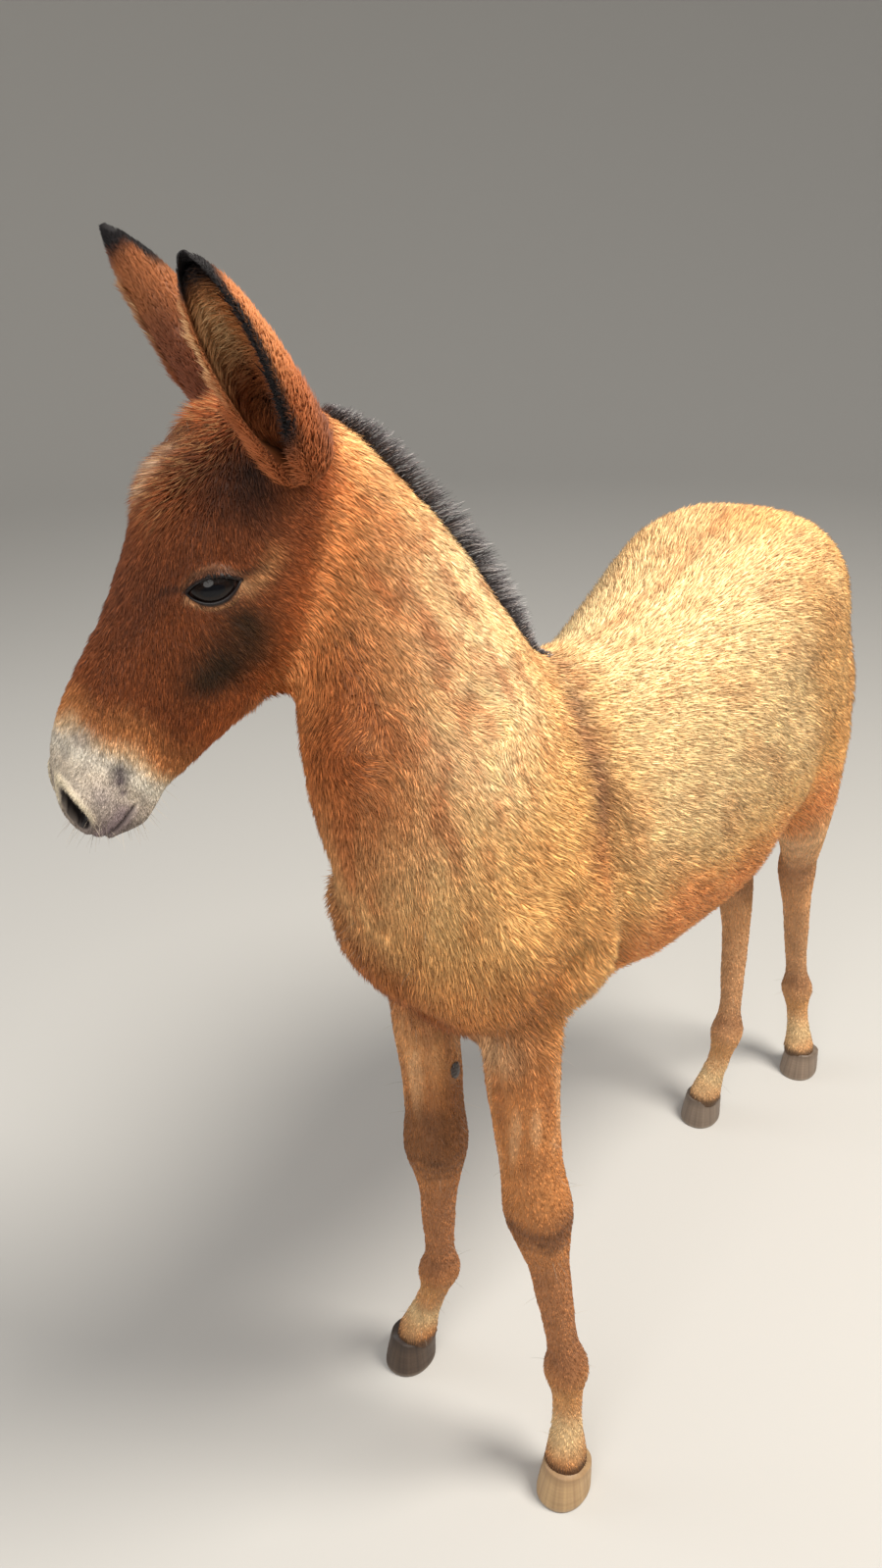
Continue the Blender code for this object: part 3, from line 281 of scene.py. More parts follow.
def trunk_lofts():
    """The lofts of torso, neck and head."""
    forward, left, top, mid, bottom, width, *full = smooth_rows(TORSO, 8).T
    torso = loft(on_body(rows_of(left, forward, top)), on_body(rows_of(left, forward, bottom)),
                 width * WITHERS_HEIGHT, (mid - bottom) / (top - bottom), *full, 56)
    rows = smooth_rows(NECK, 8)
    neck = loft(on_body(rows[:, 0:3]), on_body(rows[:, 3:6]), rows[:, 6] * WITHERS_HEIGHT,
                *rows[:, 7:].T, 48)
    along, top, bottom, width, *shape = smooth_rows(HEAD, 8).T
    head = loft(in_head(rows_of(along, 0.0, top)), in_head(rows_of(along, 0.0, bottom)),
                width * HEAD_LENGTH, *shape, 48)
    return [torso, neck, head]


def leg_loft(leg):
    """The leg's profile at each height, carried down its bone line."""
    line = smooth_rows(LEG_LINES[leg], 10)
    rows = smooth_rows(FORELEG_SHAPE if leg.startswith("front") else HINDLEG_SHAPE, 8)
    height, front, back, width, full = rows.T
    order = np.argsort(line[:, 2])
    left = np.interp(height, line[order, 2], line[order, 0])
    forward = np.interp(height, line[order, 2], line[order, 1])
    tops = on_body(rows_of(left, forward + front, height))
    bottoms = on_body(rows_of(left, forward - back, height))
    return loft(tops, bottoms, width * WITHERS_HEIGHT, back / (front + back), full, full, 28)


print("torso stations:", len(TORSO), "neck:", len(NECK), "head:", len(HEAD))

# %% [markdown]
# Small helpers that put arrays into meshes. Every finished object sits at the origin,
# so the shift to the world is added to the points themselves.

# %% Mesh helpers
def make_mesh(name, points, quads=None, triangles=None, shift=True):
    """A mesh object from arrays, each point moved from the table frame to the world."""
    quads = np.empty((0, 4), int) if quads is None else np.asarray(quads, int)
    triangles = np.empty((0, 3), int) if triangles is None else np.asarray(triangles, int)
    mesh = bpy.data.meshes.new(name)
    mesh.vertices.add(len(points))
    placed = np.asarray(points) + (SHIFT if shift else 0.0)
    mesh.vertices.foreach_set("co", placed.astype(np.float32).ravel())
    corners = np.concatenate((quads.ravel(), triangles.ravel()))
    starts = (np.arange(len(quads)) * 4, len(quads) * 4 + np.arange(len(triangles)) * 3)
    starts = np.concatenate(starts)
    mesh.loops.add(len(corners))
    mesh.loops.foreach_set("vertex_index", corners.astype(np.int32))
    mesh.polygons.add(len(starts))
    mesh.polygons.foreach_set("loop_start", starts.astype(np.int32))
    mesh.update(calc_edges=True)
    thing = bpy.data.objects.new(name, mesh)
    bpy.context.collection.objects.link(thing)
    return thing


def read_rows(mesh, what):
    """A row of three numbers for each point of the mesh."""
    rows = np.empty(len(mesh.vertices) * 3, np.float32)
    mesh.vertices.foreach_get(what, rows)
    return rows.reshape(-1, 3).astype(float)


def read_points(mesh):
    """The mesh's points in the table frame."""
    return read_rows(mesh, "co") - SHIFT


def read_normals(mesh):
    """The unit normal at each point."""
    return read_rows(mesh, "normal")


def write_points(mesh, points):
    """Move the mesh's points to new places in the table frame."""
    mesh.vertices.foreach_set("co", (points + SHIFT).astype(np.float32).ravel())
    mesh.update()


def settle(thing):
    """Replace the object's mesh by the mesh its modifiers give."""
    graph = bpy.context.evaluated_depsgraph_get()
    mesh = bpy.data.meshes.new_from_object(thing.evaluated_get(graph), depsgraph=graph)
    thing.modifiers.clear()
    old = thing.data
    thing.data = mesh
    bpy.data.meshes.remove(old)
    mesh.name = thing.name


def face_outwards(thing):
    """Turn all faces so that their normals point out of the shape."""
    body = bmesh.new()
    body.from_mesh(thing.data)
    bmesh.ops.recalc_face_normals(body, faces=body.faces)
    body.to_mesh(thing.data)
    body.free()


def unit(rows):
    """The same directions with length 1."""
    return rows / np.maximum(np.linalg.norm(rows, axis=-1, keepdims=True), 1e-9)


def ease(low, high, x):
    """0 below low, 1 above high, and 3t^2 - 2t^3 between."""
    t = np.clip((x - low) / (high - low), 0.0, 1.0)
    return t * t * (3 - 2 * t)


def bell(distance, reach):
    """exp(-(distance / reach)^2): 1 at the middle, fading with the distance."""
    return np.exp(-(distance / reach) ** 2)


def along_way(ways, normals):
    """Directions laid flat on a surface with these normals."""
    return unit(ways - normals * np.sum(ways * normals, axis=-1, keepdims=True))


print("half way, ease and bell are", ease(0.0, 1.0, 0.5), "and", bell(0.5, 1.0).round(3))

# %% [markdown]
# The body has regions: head, neck, trunk and legs. Each is a weight from 0 to 1 that
# fades over a few centimetres, so coat length, lie and colour change gradually, as on
# the real animal, where no border shows.

# %% Regions
NECK_CUT = ((0.000, 0.195, 1.000), (0.000, 0.455, 0.790), 0.0)
HEAD_CUT = ((-0.125, 0.340, 1.245), (-0.130, 0.428, 1.030), 19.0)


def past_cut(points, cut):
    """Signed distance of the points past a flat cut, towards the head."""
    high, low = on_body(cut[:2])
    turn = np.radians(cut[2])
    normal = np.cross((np.cos(turn), -np.sin(turn), 0.0), low - high)
    normal /= np.linalg.norm(normal)
    if normal[1] > 0:
        normal = -normal
    return (points - high) @ normal


def leg_offsets(points):
    """For each leg, how far the points lie from its bone line along the first two axes."""
    lines = [on_body(line)[::-1] for line in LEG_LINES.values()]
    axes = [[np.interp(points[:, 2], line[:, 2], line[:, k]) for k in (0, 1)] for line in lines]
    return points[:, :2].T - np.array(axes)


def leg_distance(points):
    """Each point's level distance from the nearest leg's bone line, and which leg."""
    offsets = leg_offsets(points)
    away = np.hypot(offsets[:, 0], offsets[:, 1])
    return away.min(axis=0), away.argmin(axis=0)


def regions(points):
    """Weights of head, neck, trunk and legs that add up to 1."""
    up = points[:, 2] / WITHERS_HEIGHT
    head = ease(-0.035, 0.025, past_cut(points, HEAD_CUT)) * (up > 0.75)
    neck = ease(-0.08, 0.04, past_cut(points, NECK_CUT)) * (1 - head) * ease(0.60, 0.75, up)
    near = 1 - ease(0.055, 0.090, leg_distance(points)[0])
    leg = np.maximum(ease(0.64, 0.54, up) * near, ease(0.56, 0.53, up)) * (1 - head) * (1 - neck)
    return head, neck, (1 - head) * (1 - neck) * (1 - leg), leg


def blend(points, *parts):
    """Rows for head, neck, trunk and legs, mixed by the regions' weights."""
    return sum(weight[:, None] * part for weight, part in zip(regions(points), parts))


print("regions at the withers:", [float(w[0]) for w in regions(on_body([(0.0, 0.17, 0.98)]))])

# %% [markdown]
# Muscles and bones that show are soft mounds that lift the skin along its normal, and
# joints are swellings round the leg. Creases and ridges are the same along a line from
# one place to another. The tables hold them, so a change needs one row.

# %% Mounds, folds and swellings
# left, forward and up of the middle, reach, height; most stand on both sides
BODY_MOUNDS = (
    (0.112, 0.370, 0.768, 0.050, 0.020), (-0.106, 0.376, 0.768, 0.052, 0.032),
    *((side * 0.100, 0.240, 0.890, 0.070, 0.004) for side in (1, -1)),
    *((side * 0.128, 0.225, 0.675, 0.055, 0.008) for side in (1, -1)),
    (0.000, 0.415, 0.715, 0.022, -0.008), (0.000, 0.390, 0.650, 0.022, -0.008),
    (0.135, -0.240, 0.975, 0.040, 0.007), (-0.131, -0.240, 0.975, 0.040, 0.007),
    (0.150, -0.180, 0.850, 0.050, -0.009), (-0.148, -0.180, 0.850, 0.050, -0.009),
    (0.140, -0.268, 0.665, 0.050, 0.008), (-0.120, -0.262, 0.665, 0.050, 0.008),
)
# two ends, reach and height of folds and ridges: first those on both sides, then single ones
PAIRED_FOLDS = (
    ((0.132, 0.208, 0.850), (0.116, 0.190, 0.655), 0.026, -0.017),
    ((0.126, 0.280, 0.850), (0.112, 0.268, 0.700), 0.036, 0.010),
    ((0.078, 0.366, 0.700), (0.034, 0.396, 0.735), 0.036, 0.014),
    ((0.095, 0.070, 0.610), (0.095, -0.150, 0.605), 0.060, 0.013),
    ((0.095, 0.170, 0.960), (0.122, 0.345, 0.790), 0.020, 0.005),
    ((0.120, -0.400, 0.930), (0.120, -0.400, 0.760), 0.030, -0.007),
)
SINGLE_FOLDS = (
    ((0.128, 0.292, 0.712), (0.040, 0.352, 0.640), 0.018, -0.016),
    ((-0.118, 0.300, 0.672), (-0.040, 0.352, 0.640), 0.018, -0.016),
    ((0.000, 0.400, 0.800), (0.000, 0.370, 0.660), 0.018, -0.010),
    ((0.000, 0.240, 0.600), (0.000, 0.130, 0.580), 0.060, -0.018),
    ((0.000, 0.040, 0.570), (0.000, -0.130, 0.566), 0.080, 0.010),
    ((0.083, 0.345, 0.640), (0.096, 0.345, 0.470), 0.010, -0.004),
    ((-0.052, 0.330, 0.640), (-0.050, 0.330, 0.470), 0.010, -0.004),
)
# height of the swelling's middle, reach, height
FRONT_SWELLS = ((0.405, 0.034, 0.0048), (0.290, 0.070, 0.0058), (0.163, 0.022, 0.0040),
                (0.520, 0.060, -0.0015))
HIND_SWELLS = ((0.455, 0.040, 0.0030), (0.300, 0.080, 0.0045), (0.163, 0.022, 0.0035))
# in head lengths: along, sideways and dorsal of the middle, reach, height
HEAD_MOUNDS = (
    (0.270, 0.165, -0.040, 0.060, 0.016),
    (0.460, 0.130, -0.100, 0.060, -0.014),
    (0.510, 0.140, -0.210, 0.050, 0.010),
    (0.350, 0.150, -0.320, 0.110, 0.012),
    (0.180, 0.140, 0.000, 0.050, -0.010),
    (0.905, 0.090, -0.120, 0.055, 0.022),
    (0.720, 0.100, -0.200, 0.060, -0.006),
    (0.900, 0.060, -0.285, 0.050, 0.010),
    (0.800, 0.000, -0.300, 0.040, -0.014),
)


def segment_distance(points, start, end):
    """Distance from the line between two places."""
    run = end - start
    share = np.clip((points - start) @ run / (run @ run), 0.0, 1.0)
    return np.linalg.norm(points - start - share[:, None] * run, axis=1)


def mound_rise(points):
    """How far the mounds lift each point: the sum of height * exp(-(d / reach)^2)."""
    rise = np.zeros(len(points))
    for left, forward, up, reach, height in BODY_MOUNDS:
        away = np.linalg.norm(points - on_body((left, forward, up)), axis=1)
        rise += height * WITHERS_HEIGHT * bell(away, reach * WITHERS_HEIGHT)
    folds = [(np.array(ends), reach, height) for *ends, reach, height in SINGLE_FOLDS]
    for *ends, reach, height in PAIRED_FOLDS:
        folds += [(np.array(ends) * (side, 1.0, 1.0), reach, height) for side in (1, -1)]
    for ends, reach, height in folds:
        away = segment_distance(points, *on_body(ends))
        rise += height * WITHERS_HEIGHT * bell(away, reach * WITHERS_HEIGHT)
    front = points[:, 1] < 0
    for swells, wanted in ((FRONT_SWELLS, front), (HIND_SWELLS, ~front)):
        for level, reach, height in swells:
            ring = bell(points[:, 2] - level * WITHERS_HEIGHT, reach * WITHERS_HEIGHT)
            rise += height * WITHERS_HEIGHT * ring * (points[:, 2] < 0.60) * wanted
    for along, sideways, dorsal, reach, height in HEAD_MOUNDS:
        for side in ((1, -1) if sideways else (1,)):
            away = np.linalg.norm(points - in_head((along, side * sideways, dorsal)), axis=1)
            rise += height * HEAD_LENGTH * bell(away, reach * HEAD_LENGTH)
    return rise


print("mounds:", len(BODY_MOUNDS) + len(HEAD_MOUNDS), "folds:", 2 * len(PAIRED_FOLDS) + len(SINGLE_FOLDS))

# %% [markdown]
# The skin is one closed surface. The lofts are fused by a voxel remesh, then the
# places where they run together are smoothed, more on the trunk than on the fine head
# and legs, and the mounds lift it.

# %% Fuse the skin
VOXEL = 0.0065


def smooth_by(thing, name, steps, group=""):
    """A modifier that moves each point half way to its neighbours' mean, steps times."""
    even = thing.modifiers.new(name, "SMOOTH")
    even.factor = 0.5
    even.iterations = steps
    even.vertex_group = group
    settle(thing)


def fuse_skin():
    """One closed surface from all lofts, smoothed more on the trunk."""
    parts = trunk_lofts() + [leg_loft(leg) for leg in LEG_LINES]
    base = np.cumsum([0] + [len(points) for points, _, _ in parts])
    skin = make_mesh("skin", np.vstack([p for p, _, _ in parts]),
                     np.vstack([q + b for (_, q, _), b in zip(parts, base)]),
                     np.vstack([t + b for (_, _, t), b in zip(parts, base)]))
    face_outwards(skin)
    remesh = skin.modifiers.new("fuse", "REMESH")
    remesh.mode = "VOXEL"
    remesh.voxel_size = VOXEL
    smooth_by(skin, "even", 12)
    points = read_points(skin.data)
    behind = ease(0.02, -0.08, to_head(points)[:, 0])
    below = ease(-0.95, -1.05, to_head(points)[:, 2])
    weights = ease(0.60, 0.68, points[:, 2]) * np.where(points[:, 2] > 1.0, behind, below)
    group = skin.vertex_groups.new(name="trunk")
    steps = np.round(weights * 10).astype(int)
    for step in range(1, 11):
        group.add(np.flatnonzero(steps == step).tolist(), step / 10, "REPLACE")
    smooth_by(skin, "blend", 75, "trunk")
    return skin


skin = fuse_skin()
write_points(skin.data, read_points(skin.data)
             + read_normals(skin.data) * mound_rise(read_points(skin.data))[:, None])
print("fused skin faces:", len(skin.data.polygons))

# %% [markdown]
# The head needs finer faces than the trunk: lids, lips and nostrils are a few
# millimetres across. So the faces there are divided once, and those round the eyes and
# on the muzzle once more, and the new points are evened out.

# %% Finer faces on the head
def divide_where(thing, wanted, evenings):
    """Halve the edges between wanted points, then smooth those points."""
    body = bmesh.new()
    body.from_mesh(thing.data)
    inside = wanted(read_points(thing.data))
    edges = [edge for edge in body.edges if all(inside[end.index] for end in edge.verts)]
    bmesh.ops.subdivide_edges(body, edges=edges, cuts=1, use_grid_fill=True)
    body.to_mesh(thing.data)
    body.free()
    group = thing.vertex_groups.new(name="fine")
    group.add(np.flatnonzero(wanted(read_points(thing.data))).tolist(), 1.0, "REPLACE")
    smooth_by(thing, "even", evenings, "fine")
    thing.vertex_groups.clear()


EYE_PLACE = (0.333, 0.148, -0.132)
EYE_REACH = 0.115
MUZZLE_START = 0.70


def on_face(points):
    """Round the eyes and on the muzzle."""
    place = to_head(points)
    eye = np.hypot(place[:, 0] - EYE_PLACE[0], place[:, 2] - EYE_PLACE[2]) < EYE_REACH
    return (place[:, 0] > MUZZLE_START) | (eye & (np.abs(place[:, 1]) > 0.08))


divide_where(skin, lambda p: regions(p)[0] > 0.5, 3)
divide_where(skin, lambda p: (regions(p)[0] > 0.5) & on_face(p), 3)
print("skin faces with a finer head:", len(skin.data.polygons))

# %% [markdown]
# The solids reach to the tips of the coat, so the skin lies inside them by the coat's
# depth: seven millimetres on the trunk, between five and six on the neck, under three
# on the head and legs, and one on the muzzle.

# %% Sink the skin by the coat's depth
COAT_DEPTH = {"head": 0.0026, "neck": 0.0055, "trunk": 0.0070, "leg": 0.0018}


def muzzle_share(points):
    """0 on the upper face, 1 on the bare-looking muzzle."""
    place = to_head(points)
    return ease(0.66, 0.84, place[:, 0] + 0.12 * place[:, 2]) * regions(points)[0]


def by_region(values, points):
    """One value a region, mixed by the regions' weights, head first as regions gives them."""
    return sum(weight * values[name] for name, weight in zip(COAT_DEPTH, regions(points)))


points = read_points(skin.data)
depth = by_region(COAT_DEPTH, points) * (1 - 0.6 * muzzle_share(points))
write_points(skin.data, points - read_normals(skin.data) * depth[:, None])
print("the skin sinks by", depth.min().round(4), "to", depth.max().round(4), "metres")

# %% [markdown]
# Lids: close to each eye the skin is drawn onto a ball a little larger than the eye,
# and inside the almond slit it turns in behind the eye. The skin stays one closed
# surface, with a pocket that holds the eye.

# %% Lids and eye pockets
LID = 0.0024
SLIT_LONG = 0.0228
SLIT_SHORT = 0.0112
EYE_STRETCH = 1.16
UPPER = {1: -1, -1: 1}  # the sign of the short way that points up, by side
FOLD_DEPTH = 0.0009
FOLD_WIDTH = 0.0013
POCKET_DEPTH = 0.006


def on_side(place, side):
    """A head place on the left side, 1, or mirrored to the right one, -1."""
    return in_head(np.array(place) * (1, side, 1))


def eye_frame(side):
    """Ball centre, and rows for the slit's long way, its short way and the gaze."""
    gaze = unit(HEAD_AXES @ np.array((0.20, side * 0.95, 0.20)))
    slit = HEAD_AXES @ np.array((0.71, 0.0, 0.70))
    slit = along_way(slit, gaze)
    return on_side(EYE_PLACE, side), np.stack((slit, np.cross(gaze, slit), gaze))


def slit_height(x):
    """Half height of the almond: short * (1 - (x / long)^2)^0.8."""
    return SLIT_SHORT * np.maximum(1 - (x / SLIT_LONG) ** 2, 0.0) ** 0.8


def shape_lids(points):
    """Skin drawn onto the lid's ball, two fine folds above, and a pocket in the slit."""
    for side in (1, -1):
        centre, frame_rows = eye_frame(side)
        local = (points - centre) @ frame_rows.T
        x, y, z = local.T
        rho = np.hypot(x / EYE_STRETCH, y)
        shell = EYE_RADIUS + LID
        near = (z > -0.004) & (z < 0.035) & (rho < 1.3 * shell)
        ball = np.sqrt(np.maximum(shell**2 - rho**2, 0.0))
        drawn = z + (1 - ease(0.62 * shell, 1.02 * shell, rho)) * (ball - z)
        fold = bell(rho - 0.0262, FOLD_WIDTH) + 0.7 * bell(rho - 0.0300, FOLD_WIDTH)
        drawn = drawn - FOLD_DEPTH * fold * ease(-0.004, 0.010, y * UPPER[side])
        pocket = np.sqrt(np.maximum(EYE_RADIUS**2 - rho**2, 0.0)) - POCKET_DEPTH
        inside = np.abs(y) < slit_height(x) - 0.0004
        local[:, 2] = np.where(near, np.where(inside, pocket, drawn), z)
        points = centre + local @ frame_rows
    return points


write_points(skin.data, shape_lids(read_points(skin.data)))
print("eye centres:", [eye_frame(side)[0].round(3).tolist() for side in SIDES.values()])

# %% [markdown]
# The muzzle: each nostril is a slanted pocket with a raised rim, and the mouth is a
# groove between two soft lips. Both are worked out as distances in the head's frame.

# %% Nostrils and mouth
NOSTRIL_PLACE = (0.934, 0.086, -0.122)
NOSTRIL_LONG = 0.0210
NOSTRIL_SHORT = 0.0098
NOSTRIL_DEPTH = 0.019
NOSTRIL_CURL = 9.0
MOUTH_CORNER = np.array((0.862, -0.232))
MOUTH_FRONT = np.array((0.985, -0.215))
MOUTH_DEPTH = 0.0045


def nostril_frame(side):
    """Centre, and rows for the slit's long way, its short way and the way in."""
    inward = unit(HEAD_AXES @ np.array((-0.60, -side * 0.70, -0.25)))
    long_way = HEAD_AXES @ np.array((0.70, side * 0.05, -0.71))
    long_way = along_way(long_way, inward)
    return on_side(NOSTRIL_PLACE, side), np.stack((long_way, np.cross(inward, long_way), inward))


def nostril_place(points, side):
    """How far out of the slit a point is: 1 on its rim. Only points at the surface count."""
    centre, rows = nostril_frame(side)
    local = (points - centre) @ rows.T
    curl = local[:, 1] - side * NOSTRIL_CURL * local[:, 0] ** 2
    q = np.hypot(local[:, 0] / NOSTRIL_LONG, curl / NOSTRIL_SHORT)
    far = 9.0
    return np.where(np.abs(local[:, 2]) < 0.030, q, far), rows[2]


def mouth_distance(points):
    """Metres above the line of the mouth, and a weight that starts at its corner."""
    place = to_head(points)
    forward = unit(MOUTH_FRONT - MOUTH_CORNER)
    off = np.stack((place[:, 0], place[:, 2]), axis=1) - MOUTH_CORNER
    return (off @ np.array((-forward[1], forward[0]))) * HEAD_LENGTH, ease(-0.012, 0.02, off @ forward)


def shape_muzzle(points, normals):
    """Sink the nostrils, raise their rims, and press the line of the mouth in."""
    for side in (1, -1):
        q, inward = nostril_place(points, side)
        sink = NOSTRIL_DEPTH * np.sqrt(np.maximum(1 - q**2, 0.0))
        rim = 0.0028 * bell(q - 1.32, 0.26)
        points = points + inward * sink[:, None] + normals * rim[:, None]
    away, share = mouth_distance(points)
    lips = -MOUTH_DEPTH * bell(away, 0.0016) + 0.0016 * bell(np.abs(away) - 0.0055, 0.0035)
    return points + normals * (lips * share)[:, None]


write_points(skin.data, shape_muzzle(read_points(skin.data), read_normals(skin.data)))
skin.data.shade_smooth()
print("skin faces:", len(skin.data.polygons), "box:", read_points(skin.data).min(axis=0).round(3))

# %% [markdown]
# The camera stands where the photograph was taken: in front of the foal's left
# shoulder, above it, looking down. Its place, turn and lens were found by fitting
# the animal's own points.

# %% Camera
CAMERA_PLACE = np.array((0.6352, -1.1748, 1.3949))
CAMERA_TURN = 37.634
CAMERA_PITCH = 25.461
CAMERA_ROLL = -1.086
FOCAL_LENGTH_PIXELS = 1249.6
PHOTO_HEIGHT_PIXELS = 1599.0


def camera_rows():
    """Rows of right, up and back for a camera that looks down by the pitch."""
    turn, pitch, roll = np.radians((CAMERA_TURN, CAMERA_PITCH, CAMERA_ROLL))
    back = np.array((np.sin(turn) * np.cos(pitch), -np.cos(turn) * np.cos(pitch), np.sin(pitch)))
    right = unit(np.cross((0.0, 0.0, 1.0), back))
    up = np.cross(back, right)
    return np.cos(roll) * right + np.sin(roll) * up, -np.sin(roll) * right + np.cos(roll) * up, back


def stand_at(name, data, columns, place):
    """A camera or lamp at a place, turned to its directions of right, up and back."""
    thing = bpy.data.objects.new(name, data)
    bpy.context.collection.objects.link(thing)
    turned = Matrix(np.stack(columns, axis=1).tolist()).to_4x4()
    turned.translation = place
    thing.matrix_world = turned
    return thing


lens = bpy.data.cameras.new("camera")
lens.sensor_fit = "VERTICAL"
lens.sensor_height = 36.0
lens.lens = FOCAL_LENGTH_PIXELS / PHOTO_HEIGHT_PIXELS * lens.sensor_height
camera = stand_at("camera", lens, camera_rows(), (CAMERA_PLACE + SHIFT).tolist())
bpy.context.scene.camera = camera
print("lens", round(lens.lens, 2), "mm at", np.round(CAMERA_PLACE + SHIFT, 3))

# %% [markdown]
# A plain pale floor, and a soft studio light: a large warm key high on the animal's
# left, where the sun stands in the photograph, a broad fill from the camera's side, a
# weak one from the right, and a pale world.

# %% Floor and light
def plain_material(name, colour, roughness):
    """A surface of one colour."""
    material = bpy.data.materials.new(name)
    material.use_nodes = True
    shader = material.node_tree.nodes["Principled BSDF"]
    shader.inputs["Base Color"].default_value = (*colour, 1.0)
    shader.inputs["Roughness"].default_value = roughness
    return material


FLOOR_RADIUS = 5.5
SWEEP_RADIUS = 3.5
WALL_HEIGHT = 4.2


def turned_rings(away, rise, sides):
    """Rings about the upright axis: (away cos a, away sin a, rise), as rows of points."""
    angle = np.linspace(0, 2 * np.pi, sides, endpoint=False)
    rings = (np.outer(away, np.cos(angle)), np.outer(away, np.sin(angle)),
             np.outer(rise, np.ones(sides)))
    return np.stack(rings, axis=-1).reshape(-1, 3)


def studio_bowl():
    """A level disc whose edge bends up by a quarter circle into a round wall."""
    turn = np.linspace(0, np.pi / 2, 25)
    level = np.linspace(0.4, FLOOR_RADIUS, 12)[:-1]
    away = np.concatenate((level, FLOOR_RADIUS + SWEEP_RADIUS * np.sin(turn),
                           (FLOOR_RADIUS + SWEEP_RADIUS,)))
    rise = np.concatenate((0 * level, SWEEP_RADIUS * (1 - np.cos(turn)), (WALL_HEIGHT,)))
    points = np.vstack((turned_rings(away, rise, 96), (0.0, 0.0, 0.0)))
    around = np.arange(96)
    middle = rows_of(len(points) - 1, around, np.roll(around, -1))
    bowl = make_mesh("pale_floor", points, grid_faces(len(away), 96)[:, ::-1], middle, shift=False)
    bowl.data.shade_smooth()
    return bowl


floor = studio_bowl()
floor.data.materials.append(plain_material("pale floor", (0.47, 0.46, 0.44), 0.85))


def area_light(name, place, target, size, power, colour):
    """A round lamp that faces its target."""
    light = bpy.data.lights.new(name, "AREA")
    light.shape = "DISK"
    light.size = size
    light.energy = power
    light.color = colour
    back = unit(np.array(place, float) - np.array(target, float))
    right = unit(np.cross((0.0, 0.0, 1.0), back))
    stand_at(name, light, (right, np.cross(back, right), back), place)


area_light("key", (1.7, 0.6, 3.5), (0.05, 0.0, 0.8), 1.4, 196.0, (1.0, 0.95, 0.87))
area_light("fill", (1.0, -3.2, 2.3), (0.0, -0.1, 0.8), 2.4, 62.0, (1.0, 0.97, 0.93))
area_light("right_fill", (-2.8, -1.2, 1.8), (0.0, 0.0, 0.8), 2.2, 24.0, (0.96, 0.98, 1.0))
bpy.context.scene.view_settings.view_transform = "Standard"
world = bpy.data.worlds.new("studio")
bpy.context.scene.world = world
world.use_nodes = True
sky = world.node_tree.nodes["Background"].inputs
sky["Color"].default_value = (0.91, 0.89, 0.86, 1.0)
sky["Strength"].default_value = 0.50
print("lights:", len(bpy.data.lights), "floor radius:", FLOOR_RADIUS)

# %% [markdown]
# The markings are a function of place on the body: each is a colour laid over the
# ones before it with a soft mask. Skin and coat both ask this one function, so they
# agree everywhere. The foal's coat is sun-bleached on the back, orange on the neck,
# chestnut on the head, with a pale muzzle and dark knees.

# %% Tints, noise and layers
def tone(red, green, blue):
    """A screen colour from 0 to 255 as the linear light that Blender uses."""
    value = np.array((red, green, blue)) / 255.0
    return np.where(value <= 0.04045, value / 12.92, ((value + 0.055) / 1.055) ** 2.4)


def ripple(points, scale, seed):
    """Smooth noise from -1 to 1: a mean of sines that run in eight random directions."""
    draw = np.random.default_rng(seed)
    ways = unit(draw.normal(size=(8, 3))) * draw.uniform(0.7, 1.5, (8, 1)) * 2 * np.pi / scale
    return np.sin(points @ ways.T + draw.uniform(0, 2 * np.pi, 8)).sum(axis=1) / 3.2


def lay(colours, tint, mask):
    """Lay one tint over the colours, as strongly as the mask says."""
    return colours + np.asarray(np.clip(mask, 0.0, 1.0))[..., None] * (tint - colours)


def lay_all(first, layers):
    """A first screen colour with (screen colour, mask) layers laid over it in order."""
    colours = tone(*first)
    for tint, mask in layers:
        colours = lay(colours, tone(*tint), mask)
    return colours


def spot(points, place, reach):
    """A round soft mask about a place, reach in metres."""
    return bell(np.linalg.norm(points - place, axis=1), reach)


print("one screen colour as light:", tone(246, 194, 124).round(3))
